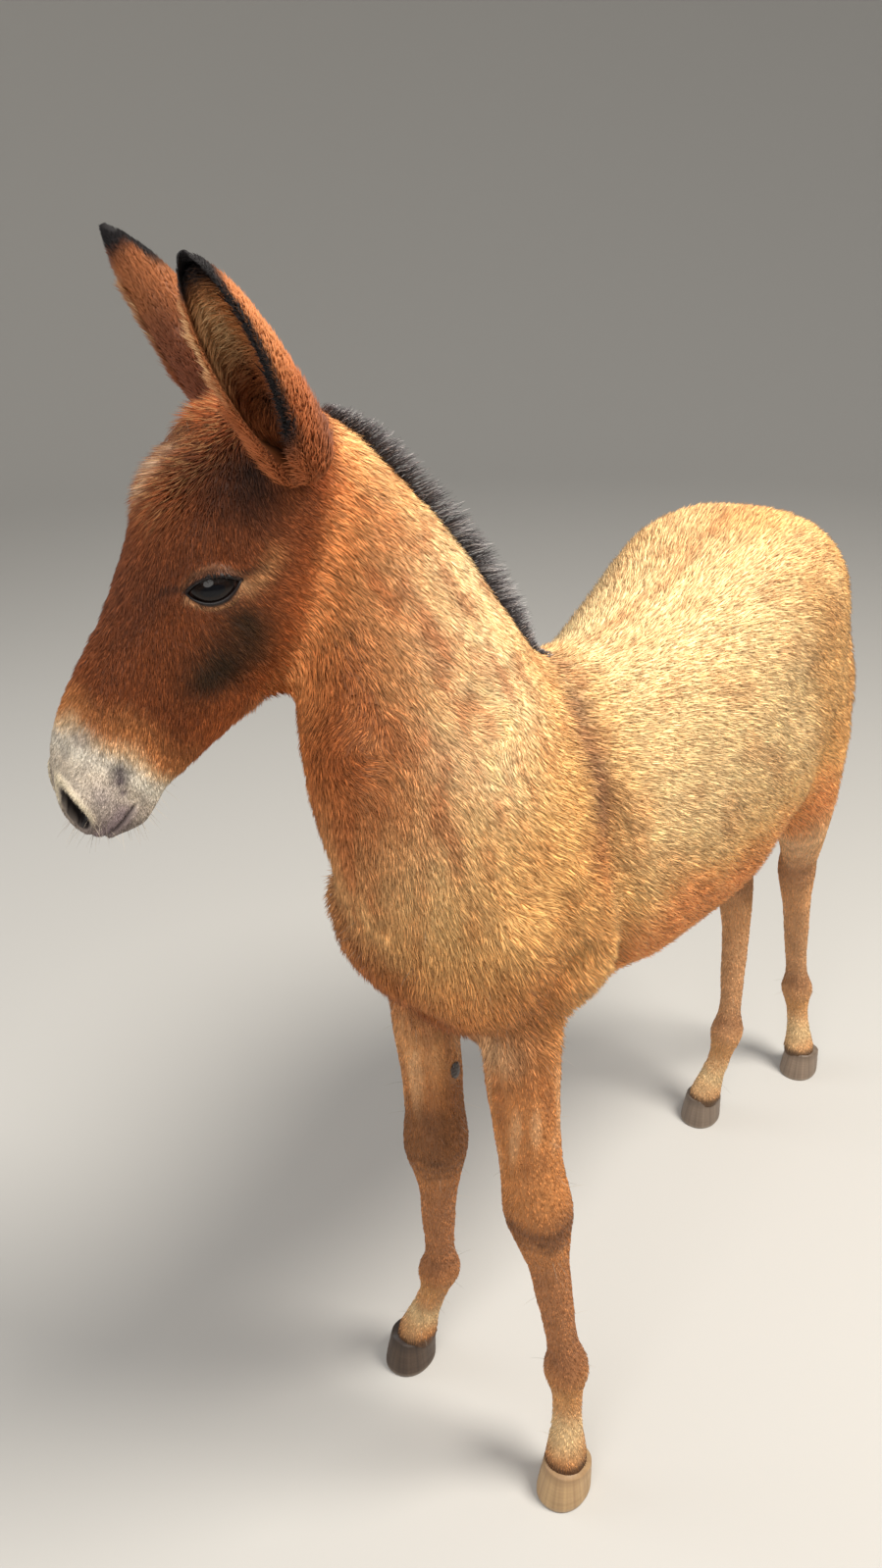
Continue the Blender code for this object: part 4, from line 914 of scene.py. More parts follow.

# %% [markdown]
# On the trunk the sun has bleached the back, and its pale tint is painted brighter
# still, as painted sunlight; belly, flank and breast keep the orange of the coat. A dark
# stripe crosses the shoulder, and a faint one runs down the spine, as in many mules. The
# breast is painted darker low down and on its right: painted shade under it and from the head.

# %% Markings of the trunk
def trunk_colours(points):
    """Pale back, orange belly and breast, a dark stripe over the shoulder and on the spine; painted light on
    the back, painted shade on the breast.
    """
    left, forward, up = points[:, 0], -points[:, 1], points[:, 2]
    wander = 0.02 * ripple(points, 0.16, 1)
    stripe = bell(forward - 0.194 - 0.26 * (0.966 - up) - 0.5 * wander, 0.026)
    elbows = [spot(points, on_body((side * 0.117, 0.236, 0.800)), 0.038) for side in (1, -1)]
    shade = ease(0.05, -0.07, left + 0.35 * (up - 0.78)) * ease(0.20, 0.32, forward)
    streaks = ripple(points * (1.0, 0.55, 0.40), 0.036, 15)
    dorsal = bell(left - 0.002 - 0.2 * wander, 0.012) * ease(0.88, 0.95, up)
    return lay_all((246, 194, 124), (
        # the back: sun-bleached, and painted brighter as painted sunlight
        ((253, 222, 168), 0.9 * ease(0.64, 0.84, up + wander) * ease(0.25, 0.10, forward)),
        ((242, 188, 118), 0.80 * ease(-0.12, -0.32, forward + 2 * wander)),
        ((232, 166, 104), 0.55 * ease(-0.36, -0.48, forward + wander) * ease(0.95, 0.80, up)),
        ((228, 168, 106), 0.5 * spot(points, (0.0, 0.25, 1.03), 0.13)),
        ((250, 166, 102), 0.80 * ease(0.725, 0.625, up + 1.5 * wander) * ease(0.26, 0.16, forward)),
        ((222, 140, 76), 0.65 * ease(0.22, 0.34, forward) * ease(0.80, 0.68, up)),
        # painted shade low on the breast, under its fold
        ((146, 80, 42), 0.72 * ease(0.26, 0.37, forward) * ease(0.735, 0.62, up + wander)),
        ((134, 98, 80), 0.80 * stripe * ease(0.79, 0.85, up) * ease(1.01, 0.97, up)),
        *(((206, 118, 58), 0.6 * elbow) for elbow in elbows),
        # painted shade on the right of the breast, from the head
        ((150, 82, 42), 0.74 * shade * ease(0.98, 0.86, up)),
        ((200, 128, 66), 0.24 * ease(0.20, 0.95, streaks)),
        ((240, 206, 160), 0.6 * spot(points, on_body((0.055, 0.345, 0.610)), 0.030)),
        ((190, 122, 72), 0.45 * dorsal * ease(0.20, 0.12, forward)),
    ))


print("back of the trunk:", trunk_colours(on_body([(0.05, -0.20, 1.00)])).round(3))

# %% [markdown]
# The neck is orange with two pale streaks down its left side. Where it faces up it is
# painted paler, as painted light, and in front under the throat darker, partly the coat's
# rust and partly painted shade. The legs turn from pale forearms to dark knees, with creases
# painted as thin lines of painted shade, and brown shanks over pale pasterns and a dark coronet.

# %% Markings of the neck and legs
NECK_STREAKS = (
    ((-0.010, 0.300, 1.090), (0.052, 0.320, 0.900), 0.056, 0.90),
    ((0.004, 0.352, 1.090), (0.030, 0.394, 0.870), 0.034, 0.66),
)


def neck_colours(points, normals):
    """Orange with two pale streaks down the left side, paler where it faces up as painted light, and darker
    in front under the throat, partly painted shade.
    """
    up = points[:, 2]
    wander = ripple(points, 0.10, 2)
    head_side = ease(-0.20, -0.03, past_cut(points, HEAD_CUT))
    # the throat's front, painted darker: partly the coat's rust, partly painted shade
    front = ease(0.62, 0.98, -normals[:, 1]) * ease(0.82, 0.98, up)
    # painted light: paler where the neck faces up
    layers = [((250, 204, 142), 0.80 * ease(0.0, 0.6, normals[:, 2])), ((146, 76, 38), 0.90 * front)]
    for high, low, reach, strength in NECK_STREAKS:
        high, low = on_body(high), on_body(low)
        share = np.clip((high[2] - up) / (high[2] - low[2]), 0.0, 1.0)[:, None]
        away = np.linalg.norm(points - high - share * (low - high), axis=1)
        layers.append(((255, 228, 178), (strength + 0.25 * wander) * bell(away, reach)))
    streaks = ripple(points * (1.0, 1.0, 0.12), 0.026, 14)
    return lay_all((230, 164, 100), layers + [
        ((198, 116, 58), 0.34 * ease(0.1, 0.8, wander) * ease(0.92, 1.02, up)),
        ((250, 208, 146), 0.80 * ease(0.95, 0.84, up)),
        ((184, 104, 52), 0.75 * head_side * ease(0.75, 0.25, normals[:, 2])),
        ((180, 102, 54), 0.46 * ease(0.15, 0.9, streaks)),
        ((255, 224, 162), 0.40 * ease(-0.2, -0.9, streaks) * (1 - head_side)),
    ])


def leg_colours(points):
    """Brown shanks, dark knees with creases painted as thin lines of shade, pale pasterns, streaks on the
    forearms.
    """
    left, forward, up = points[:, 0], -points[:, 1], points[:, 2]
    front = ease(0.0, 0.1, forward)
    near = ease(-0.02, 0.03, left)
    wander = 0.006 * ripple(points, 0.05, 13)
    streaks = ripple(points * (1.0, 1.0, 0.14), 0.024, 16)
    band = ease(0.44, 0.50, up) * ease(0.64, 0.58, up)
    return lay_all((204, 136, 78), (
        ((176, 118, 76), 0.75 * ease(0.38, 0.30, up) * ease(0.12, 0.20, up)),
        ((228, 172, 116), 0.6 * ease(0.46, 0.56, up) * front * (1 - near)),
        ((246, 198, 146), (0.42 + 0.42 * ease(0.44, 0.54, up)) * (1 - front)),
        ((84, 50, 32), 0.66 * bell(up - 0.425 + 2 * wander, 0.056) * front * (1 - near)),
        ((112, 68, 44), 0.60 * bell(up - 0.392 + wander, 0.022) * front * near),
        # painted shade: three thin dark lines in the knee's creases
        *(((66, 40, 28), 0.45 * bell(up - crease + 0.6 * wander, 0.0045) * front)
          for crease in (0.366, 0.380, 0.397)),
        ((140, 88, 58), 0.45 * bell(up - 0.440, 0.035) * (1 - front)),
        ((140, 92, 60), 0.55 * bell(up - 0.185 + wander, 0.024)),
        ((218, 164, 104), 0.6 * bell(up - 0.135, 0.020)),
        ((232, 204, 154), 0.75 * bell(up - 0.085 + wander, 0.026)),
        ((248, 204, 154), 0.34 * ease(0.2, 0.9, streaks) * band),
        ((142, 80, 44), 0.30 * ease(-0.2, -0.9, streaks) * band),
        ((58, 44, 36), 0.85 * ease(0.060, 0.046, up)),
    ))


print("knee:", leg_colours(on_body([(0.098, 0.345, 0.388)])).round(3))

# %% [markdown]
# The head has the most marks: dark temples and bridge, a thin pale line on the
# forehead, a pale ring round the lids, a pale streak at the eye's outer corner, and a
# grey-white muzzle with mauve lips and dark nostrils. Painted shade darkens the front of
# the ear's base, a patch under the eye below the facial crest, a fold above the lids, the
# inside of the nostrils and the line of the mouth.

# %% Markings of the head
# in head lengths: place and reach, then screen colour and strength
HEAD_MARKS = (
    ((0.150, 0.165, -0.070), 0.100, (80, 44, 28), 0.75),
    ((0.110, 0.110, -0.020), 0.060, (96, 52, 32), 0.60),
    # painted shade in front of the ear's base
    ((0.085, 0.150, -0.090), 0.060, (50, 31, 23), 0.80),
    # these four rows: painted shade under the facial crest, below the eye
    ((0.385, 0.180, -0.220), 0.052, (62, 44, 24), 0.85),
    ((0.440, 0.165, -0.250), 0.062, (58, 42, 24), 0.92),
    ((0.478, 0.155, -0.238), 0.052, (54, 39, 23), 0.90),
    ((0.528, 0.142, -0.222), 0.052, (66, 46, 26), 0.80),
    ((0.105, 0.000, 0.036), 0.027, (240, 216, 182), 0.55),
    ((0.160, 0.000, 0.046), 0.027, (244, 222, 190), 0.60),
    ((0.215, 0.000, 0.046), 0.025, (236, 206, 168), 0.45),
    ((0.305, 0.180, -0.188), 0.018, (206, 152, 104), 0.75),
    ((0.278, 0.184, -0.200), 0.019, (212, 158, 106), 0.80),
    ((0.246, 0.182, -0.204), 0.020, (206, 150, 98), 0.75),
    ((0.212, 0.180, -0.206), 0.022, (190, 130, 80), 0.60),
)
LIP_MARKS = (
    ((0.800, 0.103, -0.160), 0.019, (58, 46, 54), 0.90),
    ((0.822, 0.103, -0.172), 0.016, (76, 62, 72), 0.80),
    ((0.845, 0.103, -0.190), 0.012, (92, 78, 84), 0.70),
    ((0.875, 0.100, -0.150), 0.040, (146, 132, 134), 0.45),
    ((0.770, 0.080, -0.060), 0.030, (168, 156, 148), 0.60),
)


def mark_layers(points, marks, wander):
    """Soft round marks, each on both sides of the head, as layers."""
    return [(tint, strength * spot(points, on_side(mark, side), reach * HEAD_LENGTH) * (1 + 0.2 * wander))
            for mark, reach, tint, strength in marks for side in (1, -1)]


LID_CORNER = 0.0255


def nostril_layers(points, along, side):
    """A grey ring, a pale rim above it and a black inside, painted shade in the nostril's hollow."""
    q, _ = nostril_place(points, side)
    return [((112, 98, 92), 0.7 * bell(np.maximum(q - 1, 0), 0.55)),
            ((226, 212, 184), 0.85 * bell(q - 1.42, 0.22) * ease(0.955, 0.915, along)),
            # painted shade inside the nostril
            ((22, 15, 15), ease(1.20, 0.98, q))]


def lid_layers(points, side):
    """A pale ring, strongest below the eye, a dark one above that is painted shade in the lid's fold, and
    the black lid's edge.
    """
    centre, rows = eye_frame(side)
    x, y, z = ((points - centre) @ rows.T).T
    outer = (z > -0.01) * (np.hypot(x, y) < 0.045)
    lid = np.abs(y) - slit_height(x)
    below = ease(0.3, -0.3, y * UPPER[side] / 0.01)
    pale = (0.25 + 0.65 * below) * bell(lid - 0.0062, 0.0026) * ease(0.030, 0.023, np.abs(x))
    return [((224, 170, 122), pale * outer),
            # painted shade in the fold above the upper lid
            ((46, 29, 22), 0.75 * (1 - below) * bell(lid - 0.0055, 0.0030) * outer),
            ((26, 19, 18), ease(0.0040, 0.0022, lid) * (np.abs(x) < LID_CORNER) * outer)]


def head_colours(points):
    """Chestnut with its marks, then the muzzle, the mouth, the nostrils and the lids."""
    along, _, dorsal = to_head(points).T
    wander = ripple(points, 0.05, 3)
    edge = along - 0.766 + 0.014 * wander - 0.035 * ease(-0.20, -0.33, dorsal)
    white = ease(-0.015, 0.045, edge)
    away, share = mouth_distance(points)
    layers = [
        ((186, 102, 50), 0.85 * ease(-0.22, -0.34, dorsal) * ease(0.78, 0.62, along)),
        ((166, 92, 48), 0.60 * ease(-0.05, 0.01, dorsal) * ease(0.30, 0.16, along)),
        ((104, 58, 38), 0.60 * ease(-0.10, -0.04, dorsal) * bell(along - 0.45, 0.16)),
        ((176, 92, 46), 0.60 * ease(0.10, 0.02, along)),
        *mark_layers(points, HEAD_MARKS, wander),
        ((204, 136, 80), 0.85 * ease(-0.13, -0.03, edge)),
        ((228, 194, 152), ease(-0.045, 0.005, edge)),
        ((204, 190, 172), white),
        ((238, 230, 214), 0.85 * white * ease(0.080, 0.030, edge)),
        ((150, 138, 128), 0.45 * white * ease(-0.3, 0.7, ripple(points, 0.022, 21))),
        ((138, 122, 118), 0.60 * ease(0.86, 0.94, along) * ease(-0.10, -0.17, dorsal)),
        *mark_layers(points, LIP_MARKS, wander),
        ((128, 108, 114), 0.75 * share * bell(away - 0.004, 0.013)),
        # painted shade along the groove of the mouth
        ((52, 40, 42), 0.85 * share * bell(away, 0.0022)),
    ]
    for side in (1, -1):
        layers += nostril_layers(points, along, side) + lid_layers(points, side)
    return lay_all((144, 78, 40), layers)


def markings(points, normals):
    """The coat's colour at each place: the regions' colours, mixed by their weights."""
    colours = blend(points, head_colours(points), neck_colours(points, normals),
                    trunk_colours(points), leg_colours(points))
    grain = 1 + 0.07 * ripple(points, 0.035, 4) + 0.05 * ripple(points, 0.012, 5)
    return np.clip(colours * grain[:, None], 0.0, 1.0)


print("marks on head and lips:", len(HEAD_MARKS), len(LIP_MARKS))

# %% [markdown]
# The coat has a lie: it runs from the muzzle up to the poll's side, down the neck,
# back and down over the trunk and straight down the legs. The lie at a root is a
# direction by region, made tangent to the skin, with a little swirl so that hairs
# gather in tufts, and two whorls on the neck where it turns round.

# %% Lie of the coat
WHORLS = (((-0.036, 0.451, 0.957), 1.6), ((0.052, 0.312, 0.963), -1.4))
WHORL_REACH = 0.035


def hair_lie(points, normals):
    """Unit directions along the skin in which the hair runs at these points."""
    place = to_head(points)
    forward, up = -points[:, 1], points[:, 2]
    flank = 1 - np.abs(normals[:, 2])
    breast, thigh = ease(0.10, 0.36, forward), ease(-0.32, -0.5, forward)
    on_trunk = rows_of(0.0, 1.0 - 0.5 * ease(-0.30, -0.50, forward),
                       -0.18 - 0.55 * flank - 0.9 * breast - 0.8 * thigh)
    on_neck = np.tile(unit(np.array((0.10, 0.20, -0.42))), (len(points), 1))
    on_neck[:, 1] -= 0.5 * ease(0.3, 0.9, -normals[:, 1]) * ease(1.05, 0.90, up)
    cheek = ease(0.62, 0.40, place[:, 0]) * ease(-0.05, -0.25, place[:, 2])
    on_head = rows_of(1.0 - 0.9 * cheek, 0.0, -0.35 - 0.9 * cheek) @ HEAD_AXES.T
    on_leg = np.array((0.0, 0.12, -1.0))
    lie = blend(points, unit(on_head), on_neck, unit(on_trunk), on_leg)
    swirl = rows_of(*(ripple(points, 0.045, seed) for seed in (6, 7, 8)))
    fine = rows_of(*(ripple(points, 0.013, seed) for seed in (9, 10, 11)))
    lie = lie + 0.11 * swirl + 0.12 * fine
    for whorl, turn in WHORLS:
        centre = on_body(whorl)
        arm = np.cross(normals, points - centre) / 0.03
        lie = lie + turn * arm * spot(points, centre, WHORL_REACH)[:, None]
    return along_way(lie, normals)


print("lie on the back:", hair_lie(on_body([(0.0, -0.2, 1.03)]), np.array([(0.0, 0.0, 1.0)])).round(2))

# %% [markdown]
# Each tuft needs a place on a flat picture, the OFBake map.
# The skin is unrolled in four tiles, one for each region, and a tuft takes the patch
# that its root falls on.

# %% Places for the baked colours
def round_share(across, ahead):
    """The angle about a middle as a share of the whole turn."""
    return np.arctan2(across, ahead) / (2 * np.pi) + 0.5


def unwrap(points, region):
    """The skin unrolled: along the part one way, round it the other, a tile a part."""
    place = to_head(points)
    left, forward, up = points[:, 0], -points[:, 1], points[:, 2]
    _, leg = leg_distance(points)
    leg_round = round_share(*leg_offsets(points)[leg, :, np.arange(len(points))].T)
    u = np.choose(region, [0.52 + 0.44 * place[:, 0], 0.02 + 0.40 * (up - 0.65) / 0.65,
                           0.02 + 0.44 * (forward + 0.56) / 1.05, 0.52 + 0.44 * up / 0.75])
    v = np.choose(region, [0.02 + 0.44 * round_share(place[:, 1], place[:, 2] + 0.22),
                           0.54 + 0.40 * round_share(left + 0.06, forward - 0.33),
                           0.02 + 0.44 * round_share(left, up - 0.80),
                           0.54 + 0.10 * leg_round + 0.11 * leg])
    return np.clip(rows_of(u, v), 0.004, 0.996)


print("place of the poll:", unwrap(in_head([(0.0, 0.0, 0.0)]), np.zeros(1, int)).round(3))

# %% [markdown]
# The export keeps no particle hair, so the coat is mesh. A tuft is the smallest closed
# shape, a thin pyramid of four triangles: two points at the root, one on a ridge along
# its back, and the tip. About three hundred thousand of them are worked out as arrays.

# %% Tufts
UV_PATCH = 0.003


def store_colours(thing, colours):
    """Keep one colour a point in the Coat attribute."""
    rows = np.hstack((colours, np.ones((len(colours), 1)))).astype(np.float32)
    store = thing.data.attributes.new("Coat", "FLOAT_COLOR", "POINT")
    store.data.foreach_set("color", rows.ravel())


def store_places(thing, spread):
    """Keep one place on the flat picture a corner, in the OFBake map."""
    layer = thing.data.uv_layers.new(name="OFBake")
    layer.data.foreach_set("uv", spread.astype(np.float32).ravel())


def grow_tufts(name, roots, normals, lie, stand, length, width, colours, tips, places):
    """Closed tufts that leave the roots at the angle stand, as one mesh object.

    The way is lie * cos(stand) + normal * sin(stand). The root's two points are
    width apart and sunk by 0.35 of the width, and the ridge lies at 0.42 of the
    length and 0.45 width above.
    """
    count = len(roots)
    way = lie * np.cos(stand)[:, None] + normals * np.sin(stand)[:, None]
    side = unit(np.cross(way, normals))
    lift = unit(np.cross(side, way))
    half = 0.5 * width[:, None]
    foot = roots - normals * (0.35 * width)[:, None]
    ridge = roots + way * (0.42 * length)[:, None] + lift * (0.9 * half)
    end = roots + way * length[:, None]
    corners = rows_of(foot + side * half, foot - side * half, ridge, end)
    shape = np.array(((0, 2, 1), (0, 3, 2), (1, 2, 3), (0, 1, 3)))
    triangles = (np.arange(count)[:, None, None] * 4 + shape).reshape(-1, 3)
    thing = make_mesh(name, corners.reshape(-1, 3), triangles=triangles)
    shades = rows_of(colours * 0.80, colours * 0.80, 0.5 * (colours + tips), tips)
    store_colours(thing, shades.reshape(-1, 3))
    patch = np.array(((-0.5, -0.5), (0.5, -0.5), (0.0, 0.1), (0.0, 0.5))) * UV_PATCH
    store_places(thing, (places[:, None, :] + patch)[:, shape.ravel(), :])
    return thing


def scatter(points, triangles, density):
    """Roots spread evenly: each triangle gets its share of area * density, one draw a slot."""
    a, b, c = (points[triangles[:, k]] for k in range(3))
    area = 0.5 * np.linalg.norm(np.cross(b - a, c - a), axis=1)
    ends = np.cumsum(area * density[triangles].mean(axis=1))
    count = int(ends[-1])
    picked = np.searchsorted(ends, (np.arange(count) + rng.random(count)) / count * ends[-1])
    share = rng.random((count, 2))
    folded = share.sum(axis=1) > 1
    share[folded] = 1 - share[folded]
    weights = rows_of(1 - share.sum(axis=1), *share.T)
    return triangles[np.minimum(picked, len(triangles) - 1)], weights


def picked_rows(values, corners, weights):
    """Values at the roots, from the values at their triangle's corners."""
    return np.einsum("ij,ij...->i...", weights, values[corners])


def mesh_triangles(mesh):
    """The three point numbers of each triangle."""
    mesh.calc_loop_triangles()
    corners = np.empty(len(mesh.loop_triangles) * 3, np.int32)
    mesh.loop_triangles.foreach_get("vertices", corners)
    return corners.reshape(-1, 3)


print("triangles of the skin to scatter on:", len(mesh_triangles(skin.data)))

# %% [markdown]
# Materials take their colour from the Coat attribute, which the markings function
# fills, so one shader serves every part of the coat. The skin under the tufts is the
# same colour, darker, as the shade between hairs is.

# %% Materials
def attribute_material(name, roughness, specular, bump=0.0, scale=900.0):
    """A surface whose colour is the Coat attribute, with noise as fine relief."""
    material = plain_material(name, (0.5, 0.5, 0.5), roughness)
    nodes, links = material.node_tree.nodes, material.node_tree.links
    shader = nodes["Principled BSDF"]
    shader.inputs["Specular IOR Level"].default_value = specular
    store = nodes.new("ShaderNodeAttribute")
    store.attribute_name = "Coat"
    links.new(store.outputs["Color"], shader.inputs["Base Color"])
    if bump:
        place = nodes.new("ShaderNodeTexCoord")
        noise = nodes.new("ShaderNodeTexNoise")
        noise.inputs["Scale"].default_value = scale
        noise.inputs["Detail"].default_value = 4.0
        relief = nodes.new("ShaderNodeBump")
        relief.inputs["Strength"].default_value = bump
        relief.inputs["Distance"].default_value = 0.001
        links.new(place.outputs["Object"], noise.inputs["Vector"])
        links.new(noise.outputs["Fac"], relief.inputs["Height"])
        links.new(relief.outputs["Normal"], shader.inputs["Normal"])
    return material


def paint(thing, colours, material):
    """Store one colour a point, or the same for all, and give the thing its material."""
    colours = np.broadcast_to(colours, (len(thing.data.vertices), 3))
    store_colours(thing, np.clip(colours, 0.0, 1.0))
    thing.data.materials.append(material)


skin_paint = attribute_material("skin", 0.55, 0.35, bump=0.35)
coat_paint = attribute_material("coat", 0.62, 0.30)
hair_paint = attribute_material("long hair", 0.48, 0.40)
points, normals = read_points(skin.data), read_normals(skin.data)
bare = muzzle_share(points)[:, None]
paint(skin, markings(points, normals) * (0.68 + 0.26 * bare), skin_paint)
print("materials:", len(bpy.data.materials))

# %% [markdown]
# Where the coat grows: densities are roots a square metre, by region. No hair grows
# in the eye slit, the nostrils, the line of the mouth, on the chestnut inside the
# foreleg, or below the coronet. On the forehead the hair is long and stands up.

# %% Roots of the body coat
DENSITY = {"head": 320000.0, "neck": 235000.0, "trunk": 119000.0, "leg": 150000.0}
WIDTH = {"head": 0.00090, "neck": 0.00092, "trunk": 0.00115, "leg": 0.00080}
STAND = {"head": 15.0, "neck": 18.0, "trunk": 20.0, "leg": 8.0}
CHESTNUTS = {"right": (-0.032, 0.290, 0.509), "left": (0.060, 0.308, 0.509)}
CHESTNUT_REACH = 0.013


def bald(points):
    """1 where no hair grows."""
    none = ease(0.050, 0.044, points[:, 2])
    away, share = mouth_distance(points)
    none = np.maximum(none, share * ease(0.0026, 0.0016, np.abs(away)))
    for side in (1, -1):
        q, _ = nostril_place(points, side)
        none = np.maximum(none, ease(1.2, 1.0, q))
        centre, rows = eye_frame(side)
        x, y, z = ((points - centre) @ rows.T).T
        lid = (np.abs(y) - slit_height(x) < 0.0022) & (np.abs(x) < LID_CORNER)
        none = np.maximum(none, 1.0 * (lid & (z > -0.01)))
    for place in CHESTNUTS.values():
        away = np.linalg.norm(points - on_body(place), axis=1)
        none = np.maximum(none, 1.0 * (away < CHESTNUT_REACH))
    return none


def forehead(points):
    """Where the brushy hair stands: from the poll to between the eyes."""
    along, left, dorsal = to_head(points).T
    return (ease(0.34, 0.20, along) * ease(0.14, 0.08, np.abs(left)) * ease(-0.16, -0.06, dorsal)
            * ease(-0.12, -0.04, along))


triangles = mesh_triangles(skin.data)
density = by_region(DENSITY, points) * (1 + 0.35 * muzzle_share(points)) * (bald(points) < 0.5)
corners, weights = scatter(points, triangles, density)
roots = picked_rows(points, corners, weights)
root_normals = unit(picked_rows(normals, corners, weights))
kept = (rng.random(len(roots)) > bald(roots)) & (leg_distance(roots)[0] > 0.004)
roots, root_normals = roots[kept], root_normals[kept]
lie = hair_lie(roots, root_normals) + 0.11 * rng.normal(size=roots.shape)
lie = lie + 0.30 * forehead(roots)[:, None] * rng.normal(size=roots.shape)
lie = along_way(lie, root_normals)
root_weights = np.stack(regions(roots))
print("roots of the body coat:", len(roots))

# %% [markdown]
# Length, width and stand change from place to place. Tips differ from roots: on the
# trunk about a third of the hairs end dark, which gives the bleached coat its grain, and
# about a fifth end in a painted highlight, fewest on the legs and none on the muzzle.

# %% The body coat
COAT_LENGTH = {"head": 0.0110, "neck": 0.0142, "trunk": 0.0165, "leg": 0.0075}
PAINTED_HIGHLIGHT_SHARE = 0.22
DARK_SHARE = 0.34
draw = rng.random((5, len(roots)))
brush = forehead(roots)
muzzle = muzzle_share(roots)
length = by_region(COAT_LENGTH, roots) * (1 - 0.62 * muzzle) * (0.72 + 0.5 * draw[0])
length = length * (1 + 0.85 * brush)
near_eye = np.max([spot(roots, eye_frame(side)[0], 0.034) for side in (1, -1)], axis=0)
length = length * (1 - 0.55 * near_eye)
width = by_region(WIDTH, roots) * (1 - 0.3 * muzzle) * (1 - 0.3 * near_eye) * (0.8 + 0.4 * draw[1])
stand = by_region(STAND, roots) * (0.75 + 0.5 * draw[2]) * (1 - 0.35 * muzzle)
stand = np.radians(stand + 26.0 * brush + 3.5 * ripple(roots, 0.02, 12))
clump = 1 + 0.16 * ripple(roots, 0.0075, 16)
shade = markings(roots, root_normals) * ((0.56 + 0.80 * draw[3]) * clump)[:, None]
tips = shade * 1.16
# painted highlight: about a fifth of the tips are made much brighter
painted_highlight = (rng.random(len(roots)) < PAINTED_HIGHLIGHT_SHARE) * (1 - muzzle) * (1 - 0.75 * root_weights[3])
tips = lay(tips, tips * 1.7 + tone(60, 44, 30), 0.8 * painted_highlight)
dark = (draw[4] < DARK_SHARE) * root_weights[2] * ease(0.70, 0.76, roots[:, 2])
tips = lay(tips, tone(116, 66, 34), 0.85 * dark)
tips = lay(tips, tone(240, 186, 124), 0.7 * brush * (draw[4] < 0.22))
tips = lay(tips, tone(38, 24, 18), 0.7 * brush * (draw[4] > 0.80))
region = root_weights.argmax(axis=0)
places = unwrap(roots, region)
PIECE = 46000
COAT_SLOTS = {"head": "head_coat", "neck": "body_coat", "trunk": "body_coat", "legs": "leg_coat"}
coat = []
for number, (part, slot) in enumerate(COAT_SLOTS.items()):
    chosen = np.flatnonzero(region == number)
    chosen = chosen[np.argsort(roots[chosen, 2 if part == "legs" else 1])]
    for index, rows in enumerate(np.array_split(chosen, int(np.ceil(len(chosen) / PIECE)))):
        each = (root_normals, lie, stand, length, width, shade, tips, places)
        tufts = grow_tufts(f"{part}_coat_{index + 1}", roots[rows], *(values[rows] for values in each))
        tufts.data.materials.append(coat_paint)
        coat.append((tufts, slot))
        print(tufts.name, "tufts:", len(rows))

# %% [markdown]
# Each eye is a ball with a raised cornea. A foal's eye is nearly black-brown, with a
# level bar-shaped pupil, painted a shade bluer than the dark iris as a painted reflection
# of the sky. Its colours are worked out from the distance from the gaze.

# %% Eyes
def unit_ball(sides, rings):
    """Points and faces of a ball of radius 1 with its poles on the third axis."""
    rise = np.linspace(0, np.pi, rings + 2)[1:-1]
    points = np.vstack((turned_rings(np.sin(rise), np.cos(rise), sides), (0, 0, 1), (0, 0, -1)))
    return points, grid_faces(rings, sides), end_faces(rings, sides, low_first=False)


def smooth_piece(name, points, quads, ends, colours, material):
    """A closed smooth piece with its colours and its material."""
    piece = make_mesh(name, points, quads, ends)
    face_outwards(piece)
    paint(piece, colours, material)
    piece.data.shade_smooth()
    return piece


CORNEA_RISE = 0.0010


def make_eye(name, side):
    """A ball in which the cornea adds 1 mm * exp(-(rho / 0.6)^4), rho in eye radii."""
    centre, rows = eye_frame(side)
    local, quads, ends = unit_ball(96, 64)
    rho = np.hypot(local[:, 0], local[:, 1])
    bulge = CORNEA_RISE * np.exp(-(rho / 0.60) ** 4) * (local[:, 2] > 0)
    spread = local * (EYE_RADIUS * 0.985 * np.array((EYE_STRETCH, 1.0, 1.0)))
    spread[:, 2] += bulge
    pupil = np.hypot(local[:, 0] / 0.44, local[:, 1] / 0.24)
    iris_rays = ease(0.0, 0.8, ripple(local, 0.09, 30))
    colours = lay_all((46, 31, 26), (
        ((20, 13, 11), ease(0.74, 0.66, rho)),
        ((38, 24, 17), 0.5 * iris_rays * ease(0.66, 0.60, rho)),
        # the pupil's blue tint is a painted reflection of the sky
        ((9, 9, 14), ease(1.12, 0.92, pupil)),
        ((10, 8, 8), bell(rho - 0.72, 0.05)),
    ))
    return smooth_piece(name, centre + spread @ rows, quads, ends, colours, eye_paint)


eye_paint = attribute_material("eye", 0.03, 0.24)
eyes = {side: make_eye(f"{word}_eye", side) for word, side in SIDES.items()}


def tube(middle, radius, sides=10):
    """Points and faces of a closed round tube along a closed curve of middle points."""
    run = unit(np.roll(middle, -1, axis=0) - np.roll(middle, 1, axis=0))
    across = along_way(unit(middle - middle.mean(axis=0)), run)
    angle = np.linspace(0, 2 * np.pi, sides, endpoint=False)[None, :, None]
    points = (middle[:, None, :] + radius * (across[:, None, :] * np.cos(angle)
              + np.cross(run, across)[:, None, :] * np.sin(angle)))
    return points.reshape(-1, 3), grid_faces(len(middle) + 1, sides) % (len(middle) * sides)


def on_lid(x, y, share):
    """Places of the eye's frame on a ball that is larger than the eye by a share of the lid."""
    ball = EYE_RADIUS + share * LID
    return rows_of(x, y, np.sqrt(np.maximum(ball**2 - (x / EYE_STRETCH) ** 2 - y**2, 0.0)))


RIM_RADIUS = 0.0013


